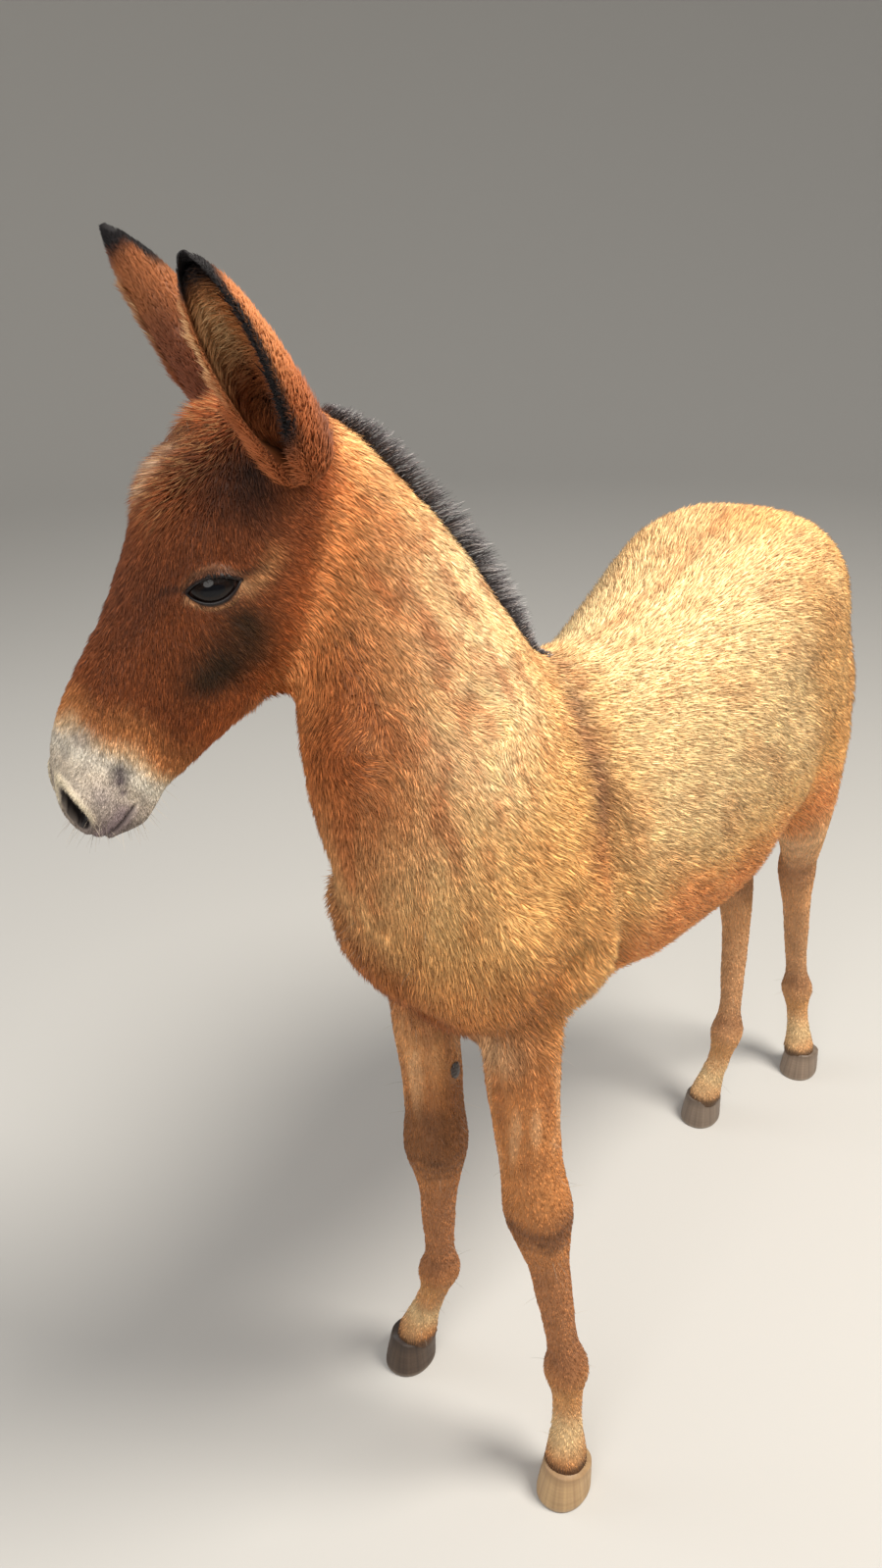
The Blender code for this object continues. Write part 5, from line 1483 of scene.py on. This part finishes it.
def lid_rim(name, side):
    """The wet black rim: a thin tube on the lid's ball along the almond's edge."""
    centre, rows = eye_frame(side)
    t = np.linspace(0, 2 * np.pi, 120, endpoint=False)
    x = SLIT_LONG * np.cos(t)
    edge = on_lid(x, np.sign(np.sin(t)) * slit_height(x), 0.5)
    points, faces = tube(centre + edge @ rows, RIM_RADIUS)
    return smooth_piece(name, points, faces, None, tone(24, 18, 18), rim_paint)


rim_paint = attribute_material("lid rim", 0.30, 0.32)
rims = {side: lid_rim(f"{word}_lid_rim", side) for word, side in SIDES.items()}
print("eyes and rims:", sum(len(t.data.polygons) for t in (*eyes.values(), *rims.values())), "faces")

# %% [markdown]
# Each ear is a rolled leaf: arcs about the ear's axis whose radius and half angle
# change from the tubular base, through the open cup, to the pointed tip. The outer
# and inner arcs join along a rounded edge, so the leaf is closed.

# %% Ears
EAR_BASE = (0.022, 0.125, -0.185)
EAR_AXIS = {1: (-0.350, 0.500, 0.790), -1: (-0.430, -0.380, 0.820)}
EAR_TURN = 38.0
EAR_BEND = 0.05
EAR_SINK = 0.0016
RIM_START = {1: (0.10, 0.28), -1: (0.40, 0.62)}
# share to the tip, radius in ear lengths, half angle in degrees, wall in ear lengths
EAR_SHAPE = (
    (0.000, 0.120, 165, 0.090),
    (0.140, 0.130, 160, 0.080),
    (0.280, 0.132, 151, 0.026),
    (0.440, 0.127, 140, 0.018),
    (0.600, 0.114, 127, 0.017),
    (0.780, 0.087, 112, 0.016),
    (0.920, 0.051, 98, 0.014),
    (1.000, 0.016, 88, 0.008),
)


def ear_frame(side):
    """Base, axis, the way the cup opens, and the way across it."""
    axis = unit(HEAD_AXES @ np.array(EAR_AXIS[side]))
    out = along_way(HEAD_AXES[:, 1] * side, axis)
    front = np.cross(axis, out) * side
    front *= np.sign(front.dot(HEAD_AXES @ np.array((1.0, 0.0, 0.6))))
    turn = np.radians(EAR_TURN)
    opening = out * np.cos(turn) + front * np.sin(turn)
    return on_side(EAR_BASE, side), axis, opening, np.cross(axis, opening)


def ear_place(side, share, angle, level):
    """A place on the ear from its share to the tip, angle in half angles and level.

    The level is 1 on the outside of the leaf and -1 on the inside.
    """
    base, axis, opening, across = ear_frame(side)
    rows = smooth_rows(EAR_SHAPE, 12)
    radius, half, wall = (np.interp(share, rows[:, 0], rows[:, k]) for k in (1, 2, 3))
    centre = base + axis * (share * EAR_LENGTH)[..., None]
    centre = centre + opening * (EAR_BEND * EAR_LENGTH * share**2)[..., None]
    depth = (radius - wall * (0.5 - 0.5 * level)) * EAR_LENGTH - level * EAR_SINK
    turn = np.radians(half) * angle
    ahead, beside = (depth * np.cos(turn))[..., None], (depth * np.sin(turn))[..., None]
    return centre - opening * ahead + across * beside


def make_ear(name, side):
    """The leaf as rings of 80 points; the edge is rounded by the level's cosine."""
    share = np.linspace(0.0, 1.0, 90)
    spread = np.linspace(-1, 1, 37)
    edge = np.linspace(0, np.pi, 5)[1:-1]
    angle = np.concatenate((spread, 1 + 0.03 * np.sin(edge), spread[::-1], -1 - 0.03 * np.sin(edge)))
    level = np.concatenate((np.ones(37), np.cos(edge), -np.ones(37), -np.cos(edge)))
    sides = len(angle)
    shares = np.append(np.repeat(share, sides), (0.0, 1.0))
    angles = np.append(np.tile(angle, len(share)), (0.0, 0.0))
    levels = np.append(np.tile(level, len(share)), (0.0, 0.0))
    # the leaf is painted darker than its hair, as the shade between hairs, and darker still in the cup's
    # hollow: painted shade
    painted_hollow_shade = ease(0.3, -0.3, levels) * ease(0.36, 0.20, shares)
    colours = ear_colours(side, shares, angles, levels) * (0.75 - 0.60 * painted_hollow_shade)[:, None]
    return smooth_piece(name, ear_place(side, shares, angles, levels), grid_faces(len(share), sides),
                        end_faces(len(share), sides, low_first=False), colours, skin_paint)


def ear_colours(side, share, angle, level):
    """Orange-brown outside with a dark lower back, black rims and tips, tan inside, with painted shade in
    the cup and on the far ear.
    """
    far, wide, inside = float(side < 0), np.abs(angle), ease(0.3, -0.3, level)
    rim = ease(0.86, 0.95, angle * side) * ease(*RIM_START[side], share)
    rim = np.maximum(rim, ease(0.80, 0.94, wide) * ease(0.80, 0.90, share))
    rim = np.maximum(rim, far * ease(0.14, -0.08, angle) * ease(0.66, 0.78, share))
    return lay_all((172, 98, 54), (
        ((200, 134, 84), 0.6 * ease(0.30, 0.60, share) * ease(0.95, 0.75, share)),
        ((70, 42, 34), 0.80 * ease(0.42, 0.10, share) * ease(0.95, 0.40, wide)),
        # painted shade: the far ear darker all over
        ((132, 74, 44), 0.5 * far),
        ((206, 134, 80), inside),
        ((164, 90, 48), 0.85 * inside * ease(0.62, 0.36, share)),
        # painted shade in the cup's hollow at its base
        ((62, 36, 26), 0.85 * inside * ease(0.34, 0.12, share) * ease(0.75, 0.35, wide)),
        # darker towards the tip inside: partly the dark tip, partly painted shade
        ((92, 62, 44), 0.70 * inside * ease(0.76, 0.88, share)),
        # painted shade low on the far ear
        ((112, 62, 44), 0.7 * far * ease(0.10, 0.60, angle) * ease(0.70, 0.50, share)),
        ((24, 20, 22), rim),
        ((24, 20, 22), ease(0.80, 0.90, share)),
    ))


ears = {side: make_ear(f"{word}_ear", side) for word, side in SIDES.items()}
print("ears:", sum(len(ear.data.polygons) for ear in ears.values()), "faces")

# %% [markdown]
# Hair on the ears: short and close outside, running to the tip; inside, long hairs
# that lie across the cup, pale above and darker in its hollow, where shade is painted; along
# one edge a black rim, and along the other a fringe that spills over it, with brown tips,
# most of them on the far ear as painted shade.

# %% Hair of the ears
def ear_hair(name, side, count, level, spread, signs, long, thin, stand, lean, spill=0.0):
    """Tufts on one face of the leaf, between the given half angles.

    Lean turns them towards the middle, and spill sends them over the edge.
    """
    power, reach = (1.0, 0.985) if level > 0 else (1.5, 0.90)
    share = reach * rng.random(count) ** power
    angle = rng.uniform(spread[0], spread[1], count) * rng.choice(signs, count)
    even = np.full(count, float(level))
    roots = ear_place(side, share, angle, even)
    ahead = unit(ear_place(side, share + 0.01, angle, even) - roots)
    beside = unit(ear_place(side, share, angle + 0.01, even) - roots)
    normals = unit(np.cross(ahead, beside))
    base, axis, opening, across = ear_frame(side)
    outward = roots - (base + axis * ((roots - base) @ axis)[:, None])
    normals *= (np.sign(np.sum(normals * outward, axis=1)) * level)[:, None]
    inward = -np.sign(angle)[:, None] * beside
    way = along_way(ahead + lean * inward + 0.22 * rng.normal(size=(count, 3)), normals)
    if spill:
        way = unit(way + spill * (0.8 * np.sign(angle)[:, None] * across + 0.5 * opening))
    colours = ear_colours(side, share, angle, even) * rng.uniform(0.8, 1.15, (count, 1))
    tips = colours * 1.15
    if level < 0:
        pale = ease(0.84, 0.74, share) * ease(0.34, 0.62, share) * ease(0.45, -0.25, angle * side)
        tips = lay(colours * 1.1, tone(250, 214, 160), 0.85 * pale * (colours[:, 0] > 0.15))
    if spill:
        # brown fringe tips, nine in ten on the far ear: partly painted shade
        tips = lay(tips, tone(150, 84, 48), 0.85 * (rng.random(count) < (0.35 if side > 0 else 0.9)))
    fade = (1 - 0.5 * ease(0.75, 1.0, share)) * (1 + 0.9 * ease(0.45, 0.05, share) * (level > 0))
    fade = fade * (1 - 0.6 * spill * ease(0.68, 0.84, share))
    fade = fade * (1 + 0.35 * spill * ripple(roots, 0.02, 17))
    places = rows_of(0.02 + 0.45 * (0.5 + 0.45 * angle) + 0.48 * (level < 0), 0.02 + 0.94 * share)
    tufts = grow_tufts(name, roots, normals, way, np.radians(stand * rng.uniform(0.6, 1.4, count)),
                       long * fade * rng.uniform(0.7, 1.2, count), thin * rng.uniform(0.8, 1.2, count),
                       colours, tips, places)
    tufts.data.materials.append(coat_paint)
    return tufts


# kind, count, face, half angles, edges, length, width, stand, lean and spill
EAR_HAIRS = (
    ("coat", 9000, 1, (-1.0, 1.0), (1,), 0.0105, 0.0010, 16.0, 0.0),
    ("lining", 3600, -1, (0.45, 1.02), (1, -1), 0.022, 0.0011, 36.0, 0.55),
    ("down", 3800, -1, (-0.80, 0.80), (1,), 0.028, 0.0012, 46.0, 0.1),
    ("fringe", 2200, -1, (0.86, 1.0), "free", 0.0175, 0.0010, 10.0, 0.0, 0.75),
    ("rim", 2600, 1, (0.90, 1.03), (1, -1), 0.0080, 0.0009, 14.0, -0.7),
)
ear_coat = {side: [] for side in SIDES.values()}
for word, side in SIDES.items():
    for kind, count, level, spread, edges, *shape in EAR_HAIRS:
        signs = (-side,) if edges == "free" else edges
        hairs = ear_hair(f"{word}_ear_{kind}", side, count, level, spread, signs, *shape)
        ear_coat[side].append(hairs)
print("ears:", sum(len(t.data.polygons) for group in ear_coat.values() for t in group), "hair faces")

# %% [markdown]
# Hooves: the wall runs from the sole to the coronet, with fine growth rings round it
# and a bevelled lower edge. Each hoof has its own horn colour, dark or pale, streaked
# down the wall.

# %% Hooves
HORN = {
    "front_left": ((186, 154, 112), (140, 110, 80)), "front_right": ((84, 68, 56), (50, 41, 36)),
    "hind_left": ((138, 120, 104), (96, 82, 70)), "hind_right": ((128, 112, 98), (90, 78, 68)),
}


RING_HEIGHT = 0.00035
RING_COUNT = 12
BEVEL = 0.0012


def make_hoof(leg):
    """The loft of the hoof table, with twelve rings of 0.35 mm * sin and a bevel below."""
    left, forward, _ = LEG_LINES[leg][-1]
    toe, heel, low, high, width = smooth_rows(HOOF, 14).T
    tops, bottoms = on_body(rows_of(left, forward + toe, low)), on_body(rows_of(left, forward - heel, high))
    climb = np.linspace(0, 1, len(toe))
    ring = RING_HEIGHT * np.sin(2 * np.pi * climb * RING_COUNT) * ease(0.06, 0.2, climb)
    ring = ring - BEVEL * ease(0.05, 0.0, climb)
    ahead = unit(tops - bottoms) * ring[:, None]
    half, full = np.full(len(toe), 0.5), np.full(len(toe), 2.15)
    points, quads, ends = loft(tops + ahead, bottoms - ahead, width * WITHERS_HEIGHT + ring, half,
                               full, full, 120)
    main, dark = HORN[leg]
    turn = np.arctan2(points[:, 0] - left, points[:, 1] + forward)
    streak = np.sin(turn * 9 + 1) + np.sin(turn * 23 + 2) + np.sin(turn * 41)
    level = points[:, 2] / 0.040
    colours = lay_all(main, (
        (dark, 0.30 + 0.13 * streak),
        (dark, 0.55 * ease(0.75, 1.1, level) + 0.15 * np.sin(level * 26) ** 2),
        ((150, 138, 124), 0.45 * ease(0.16, 0.02, level)),
    ))
    return smooth_piece(f"hoof_{leg}_horn", points, quads, ends, colours, horn_paint)


horn_paint = attribute_material("hoof horn", 0.42, 0.4, bump=0.15, scale=500.0)
hooves = {leg: make_hoof(leg) for leg in LEG_LINES}
print("hooves:", sum(len(hoof.data.polygons) for hoof in hooves.values()), "faces")

# %% [markdown]
# Long hair is made of strands: closed three-sided tubes that taper to the tip, leave
# the skin one way and bend over to another. A crimp swings them from side to side.

# %% Strands
def grow_strands(name, roots, rise, lie, flat, length, width, bend, crimp, turns, colours, tips,
                 places, rings=5):
    """Strands as one mesh object, each with its own values or one value for all.

    The middle is root + length * (rise * (t - b t^2 / 2) + lie * b t^2 / 2), swung
    sideways by crimp * sin(2 pi turns t + phase), with the width times (1 - t)^0.6.
    """
    count = len(roots)
    t = np.linspace(0.0, 1.0, rings + 1)[None, :, None]
    flat, colours, tips = (np.broadcast_to(row, (count, 3))[:, None, :] for row in (flat, colours, tips))
    length, width, bend, crimp, turns = (np.broadcast_to(value, count)[:, None, None]
                                         for value in (length, width, bend, crimp, turns))
    share = bend * t**2 / 2
    middle = roots[:, None, :] + length * (rise[:, None, :] * (t - share) + lie[:, None, :] * share)
    phase = rng.uniform(0, 2 * np.pi, (count, 1, 1))
    swing = np.sin(2 * np.pi * turns * t + phase) - np.sin(phase)
    middle = middle + flat * crimp * swing
    run = unit(np.gradient(middle, axis=1))
    across = along_way(flat, run)
    over = np.cross(run, across)
    shrink = 0.5 * width * np.clip(1 - t, 0.03, 1.0) ** 0.6
    turn = np.radians((90.0, 210.0, 330.0))[None, None, :, None]
    points = (middle[:, :, None, :] + shrink[..., None] * (across[:, :, None, :] * np.cos(turn)
              + over[:, :, None, :] * np.sin(turn)))
    each = (rings + 1) * 3
    start = (np.arange(count) * each)[:, None, None]
    quads = (start + grid_faces(rings + 1, 3)).reshape(-1, 4)
    caps = (start + np.array(((0, 2, 1), (rings * 3, rings * 3 + 1, rings * 3 + 2)))).reshape(-1, 3)
    thing = make_mesh(name, points.reshape(-1, 3), quads, caps)
    shades = np.repeat(colours + t * (tips - colours), 3, axis=1).reshape(-1, 3)
    paint(thing, shades, hair_paint)
    ring = np.repeat(np.linspace(-0.5, 0.5, rings + 1), 3)
    patch = rows_of(np.tile((-0.5, 0.0, 0.5), rings + 1), ring) * UV_PATCH
    spread = (places[:, None, :] + patch[None, :, :]).reshape(-1, 2)
    corners = np.empty(len(thing.data.loops), np.int32)
    thing.data.loops.foreach_get("vertex_index", corners)
    store_places(thing, spread[corners])
    return thing


def rows_at(table, spots):
    """Rows of a table at places between its own rows."""
    return rows_of(*(np.interp(spots, np.arange(len(table)), column) for column in table.T))


def skin_tree():
    """The skin as it stands now, for finding the nearest place on it."""
    return BVHTree.FromObject(skin, bpy.context.evaluated_depsgraph_get())


ROOT_DEPTH = 0.0015


def drop_to_skin(tree, points, ways):
    """Each point moved to the skin's nearest place, a little way in."""
    found = [tree.find_nearest(Vector(row + SHIFT))[0] for row in points]
    return np.array(found) - SHIFT - ROOT_DEPTH * ways


print("skin at the withers:", drop_to_skin(skin_tree(), on_body([(0.0, 0.17, 1.0)]), np.eye(3)[2:]).round(3))

# %% [markdown]
# The mane of a young mule stands up: short, black and crimped, with paler tips, and on
# one strand in seven a near-white tip, a painted highlight on the crimped locks. It grows
# in a band along the crest, leans out at both sides and is densest in the middle. The
# forelock continues it down between the ears.

# %% Mane and forelock
# left, forward and up of the crest, and the length of the hair there
MANE = (
    (0.003, 0.172, 0.990, 0.006),
    (0.000, 0.196, 1.000, 0.014),
    (-0.006, 0.222, 1.020, 0.026),
    (-0.014, 0.244, 1.056, 0.034),
    (-0.042, 0.272, 1.122, 0.038),
    (-0.085, 0.304, 1.186, 0.036),
    (-0.108, 0.328, 1.216, 0.030),
    (-0.124, 0.350, 1.236, 0.018),
)


MANE_HALF_WIDTH = 0.011
PAINTED_MANE_HIGHLIGHT_SHARE = 0.14


def mane_strands(count):
    """Strands along the crest, black with paler tips, one in seven tipped near white as a painted highlight.
    """
    crest = smooth_rows(MANE, 12)
    spot = rng.uniform(0.0, len(crest) - 1.0, count)
    rows = rows_at(crest, spot)
    runs = unit(rows_at(np.gradient(crest[:, :3], axis=0), spot) * (1.0, -1.0, 1.0))
    left = unit(np.cross(runs, (0.0, 0.0, 1.0)))
    up = np.cross(left, runs)
    off = np.clip(rng.normal(0.0, 0.0052, count), -MANE_HALF_WIDTH, MANE_HALF_WIDTH)
    roots = drop_to_skin(skin_tree(), on_body(rows[:, :3]) + left * off[:, None], up)
    clump = np.floor(spot * 1.7) % 2 - 0.5
    lean = 0.10 * ripple(roots, 0.012, 20) - 0.16
    rise = unit(up + (38 * off + 0.10 * clump)[:, None] * left + lean[:, None] * runs
                + 0.07 * rng.normal(size=(count, 3)))
    length = rows[:, 3] * WITHERS_HEIGHT * rng.uniform(0.80, 1.10, count)
    length = length * (1 - 0.25 * (np.abs(off) / MANE_HALF_WIDTH)) + ROOT_DEPTH
    colours = tone(30, 25, 26) * rng.uniform(0.7, 1.4, (count, 1))
    colours = lay(colours, tone(104, 62, 38), 0.8 * ease(0.95, 1.0, spot / (len(crest) - 1.0)))
    tips = tone(128, 121, 124) * rng.uniform(0.1, 1.2, (count, 1)) ** 1.5
    # painted highlight: one tip in seven near white
    tips = lay(tips, tone(236, 230, 228), 0.90 * (rng.random(count) < PAINTED_MANE_HIGHLIGHT_SHARE))
    places = unwrap(roots, np.ones(count, int))
    return grow_strands("mane", roots, rise, unit(left * np.sign(off)[:, None] - 0.5 * runs), runs,
                        length, rng.uniform(0.0007, 0.0011, count), 0.35,
                        rng.uniform(0.0003, 0.0010, count), rng.uniform(1.5, 2.6, count),
                        colours, tips, places, rings=6)


def forelock_strands(count):
    """Brown strands that rise between the ears and fall on the forehead."""
    along, left, dorsal = HEAD_AXES.T
    place = rng.uniform(-0.035, 0.125, count)
    sideways = rng.normal(0.0, 0.036, count)
    roots = drop_to_skin(skin_tree(), in_head(rows_of(place, sideways, 0.02)), dorsal)
    lift = ease(0.14, -0.02, place)[:, None]
    rise = unit((0.60 + 0.25 * lift) * dorsal + 0.70 * along + (2.4 * sideways)[:, None] * left
                + 0.14 * rng.normal(size=(count, 3)))
    lie = unit(along + 1.5 * sideways[:, None] * left - 0.15 * dorsal)
    colours = tone(40, 27, 22) * rng.uniform(0.7, 1.5, (count, 1))
    tips = tone(168, 108, 66) * rng.uniform(0.4, 1.2, (count, 1))
    places = unwrap(roots, np.zeros(count, int))
    return grow_strands("forelock", roots, rise, lie, left, rng.uniform(0.024, 0.041, count),
                        rng.uniform(0.0006, 0.0010, count), 0.9,
                        rng.uniform(0.0003, 0.0009, count), rng.uniform(0.8, 1.8, count),
                        colours, tips, places)


mane, forelock = mane_strands(2500), forelock_strands(1000)
print("mane and forelock:", len(mane.data.polygons) + len(forelock.data.polygons), "faces")

# %% [markdown]
# The tail has a dock, a tapering core clothed in short hair, and long strands that
# leave it all round and hang down to a tuft.

# %% Tail
# left, forward and up of the dock's middle, and its radius with the coat
TAIL = (
    (0.005, -0.440, 0.955, 0.020),
    (0.005, -0.492, 0.925, 0.021),
    (0.006, -0.522, 0.860, 0.018),
    (0.006, -0.534, 0.780, 0.014),
    (0.006, -0.538, 0.710, 0.009),
)


def make_dock():
    """The dock, with the middle and the radius that the strands leave from."""
    rows = smooth_rows(TAIL, 10)
    middle = on_body(rows[:, :3])
    radius = rows[:, 3] * WITHERS_HEIGHT - 0.003
    back = unit(np.cross(np.gradient(middle, axis=0), (1.0, 0.0, 0.0)))
    half, full = np.full(len(rows), 0.5), np.full(len(rows), 2.0)
    reach = back * radius[:, None]
    points, quads, ends = loft(middle + reach, middle - reach, radius, half, full, full, 24)
    colours = lay_all((206, 152, 96), [((70, 48, 36), ease(0.90, 0.78, points[:, 2]))])
    return smooth_piece("dock", points, quads, ends, colours * 0.6, skin_paint), middle, radius


def tail_strands(name, count, low, high, long, wide, middle, radius):
    """Strands that leave the dock between two shares of its length."""
    spot = rng.uniform(low, high, count) * (len(middle) - 1)
    place, down = rows_at(middle, spot), unit(rows_at(np.gradient(middle, axis=0), spot))
    turn = rng.uniform(0, 2 * np.pi, count)
    back = np.cross((1.0, 0.0, 0.0), down)
    out = unit(np.cos(turn)[:, None] * np.array((1.0, 0.0, 0.0)) - np.sin(turn)[:, None] * back)
    roots = place + out * (rows_at(radius[:, None], spot) - 0.001)
    rise = unit(0.24 * out + down + 0.05 * rng.normal(size=(count, 3)))
    lie = unit(np.array((0.0, 0.0, -1.0)) - 0.14 * out + 0.06 * rng.normal(size=(count, 3)))
    share = spot / (len(middle) - 1)
    length = np.interp(share, (0.0, 0.35, 1.0), long) * rng.uniform(0.75, 1.08, count)
    root = lay_all((196, 142, 88), [((44, 32, 28), ease(0.20, 0.60, share))])
    root = root * rng.uniform(0.75, 1.3, (count, 1))
    places = rows_of(0.02 + 0.94 * turn / (2 * np.pi), 0.02 + 0.94 * share)
    return grow_strands(name, roots, rise, lie, unit(np.cross(down, out)), length,
                        rng.uniform(0.7, 1.2, count) * wide, 1.0, rng.uniform(0.0006, 0.0028, count),
                        rng.uniform(0.8, 2.0, count), root, root * rng.uniform(1.2, 2.6, (count, 1)),
                        places)


dock, *dock_shape = make_dock()
tail_top = tail_strands("tail_top", 1500, 0.02, 0.40, (0.026, 0.040, 0.06), 0.0010, *dock_shape)
tail_tuft = tail_strands("tail_tuft", 1700, 0.34, 1.0, (0.07, 0.090, 0.165), 0.0011, *dock_shape)
print("tail:", len(tail_top.data.polygons) + len(tail_tuft.data.polygons), "faces")

# %% [markdown]
# Small things: lashes on the upper lid, whiskers on lips and chin, and the horny
# chestnuts inside the forelegs.

# %% Lashes, whiskers and chestnuts
def lashes(name, side, count=90):
    """Black strands on the upper lid that leave forwards and curl up."""
    centre, rows = eye_frame(side)
    t = np.radians(rng.uniform(25, 155, count))
    upper = UPPER[side]
    x = SLIT_LONG * np.cos(t)
    roots = centre + on_lid(x, upper * (slit_height(x) + 0.0012), 0.6) @ rows
    rise = unit(rows_of(0.35 * x / SLIT_LONG, 0.25 * upper, 1.0)
                + 0.10 * rng.normal(size=(count, 3))) @ rows
    lie = unit(rows_of(0.5 * x / SLIT_LONG, -0.35 * upper, 1.0) @ rows)
    black = tone(22, 16, 15)
    return grow_strands(name, roots, rise, lie, rows[0], rng.uniform(0.008, 0.017, count), 0.00035,
                        1.0, 0.0, 1.0, black, black, unwrap(roots, np.zeros(count, int)))


def whiskers(count=230):
    """Roots on the lips and chin, picked from the skin's own points."""
    points, normals = read_points(skin.data), read_normals(skin.data)
    place = to_head(points)
    away, _ = mouth_distance(points)
    lips = (place[:, 0] > 0.80) & (away < 0.012) | (place[:, 0] > 0.88) & (np.abs(away) < 0.035)
    chosen = rng.choice(np.flatnonzero(lips & (bald(points) < 0.5)), count, replace=False)
    roots, out = points[chosen], normals[chosen]
    along, _, dorsal = HEAD_AXES.T
    rise = unit(out + 0.25 * along + 0.15 * rng.normal(size=(count, 3)))
    lie = unit(out + 0.5 * along - 0.5 * dorsal)
    colours = tone(196, 180, 160) * rng.uniform(0.15, 1.2, (count, 1))
    flat = unit(np.cross(out, along))
    return grow_strands("whiskers", roots, rise, lie, flat, rng.uniform(0.009, 0.026, count), 0.00032,
                        0.6, 0.0, 1.0, colours, colours * 1.3, unwrap(roots, np.zeros(count, int)))


lash = {side: lashes(f"{word}_lashes", side) for word, side in SIDES.items()}
whisker = whiskers()


CHESTNUT_SIZE = (0.0105, 0.0075, 0.0030)


def make_chestnut(name, place):
    """A flat grey pad on the skin: a rough ball pressed to 21 by 15 by 6 millimetres."""
    hit, normal, _, _ = skin_tree().find_nearest(Vector(on_body(place) + SHIFT))
    out, root = np.array(normal), np.array(hit) - SHIFT
    down = unit(np.array((0.0, 0.0, -1.0)) + out * out[2])
    local, quads, ends = unit_ball(40, 24)
    rough = 1 + 0.10 * ripple(local, 0.5, 40)
    spread = local * rough[:, None] * CHESTNUT_SIZE
    colours = lay_all((84, 76, 72), [((48, 42, 40), 0.5 + 0.5 * rough * ripple(local, 0.3, 41))])
    return smooth_piece(name, root + spread @ np.stack((down, np.cross(out, down), out)), quads, ends,
                        colours, horn_paint)


chestnuts = [make_chestnut(f"chestnut_{word}", place) for word, place in CHESTNUTS.items()]
print("whiskers:", len(whisker.data.polygons), "faces, chestnuts:", len(chestnuts))

# %% [markdown]
# Every piece rides on the root of the part. The skin and the pieces over it take the
# place of the solids.

# %% Put the pieces on the part
def hang(piece, slot, *nodes):
    """The piece rides on the root and takes the place of the nodes. The slot is not used."""
    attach(piece, "root")
    if nodes:
        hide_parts(*nodes)


own = ("eye", "ear", "hoof", "tail")
hang(skin, "body_coat", *[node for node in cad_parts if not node.startswith(own)])
for thing, slot in coat:
    hang(thing, slot)
for word, side in SIDES.items():
    hang(eyes[side], "eye", f"eye_{word}")
    hang(rims[side], "head_coat")
    hang(lash[side], "long_hair")
    hang(ears[side], "ear_coat", f"ear_{word}")
    for thing in ear_coat[side]:
        hang(thing, "ear_coat")
for leg, hoof in hooves.items():
    hang(hoof, "hoof_horn", f"hoof_{leg}")
for thing in (mane, forelock, whisker, tail_top, tail_tuft):
    hang(thing, "long_hair")
hang(dock, "body_coat", "tail")
for pad in chestnuts:
    hang(pad, "hoof_horn")
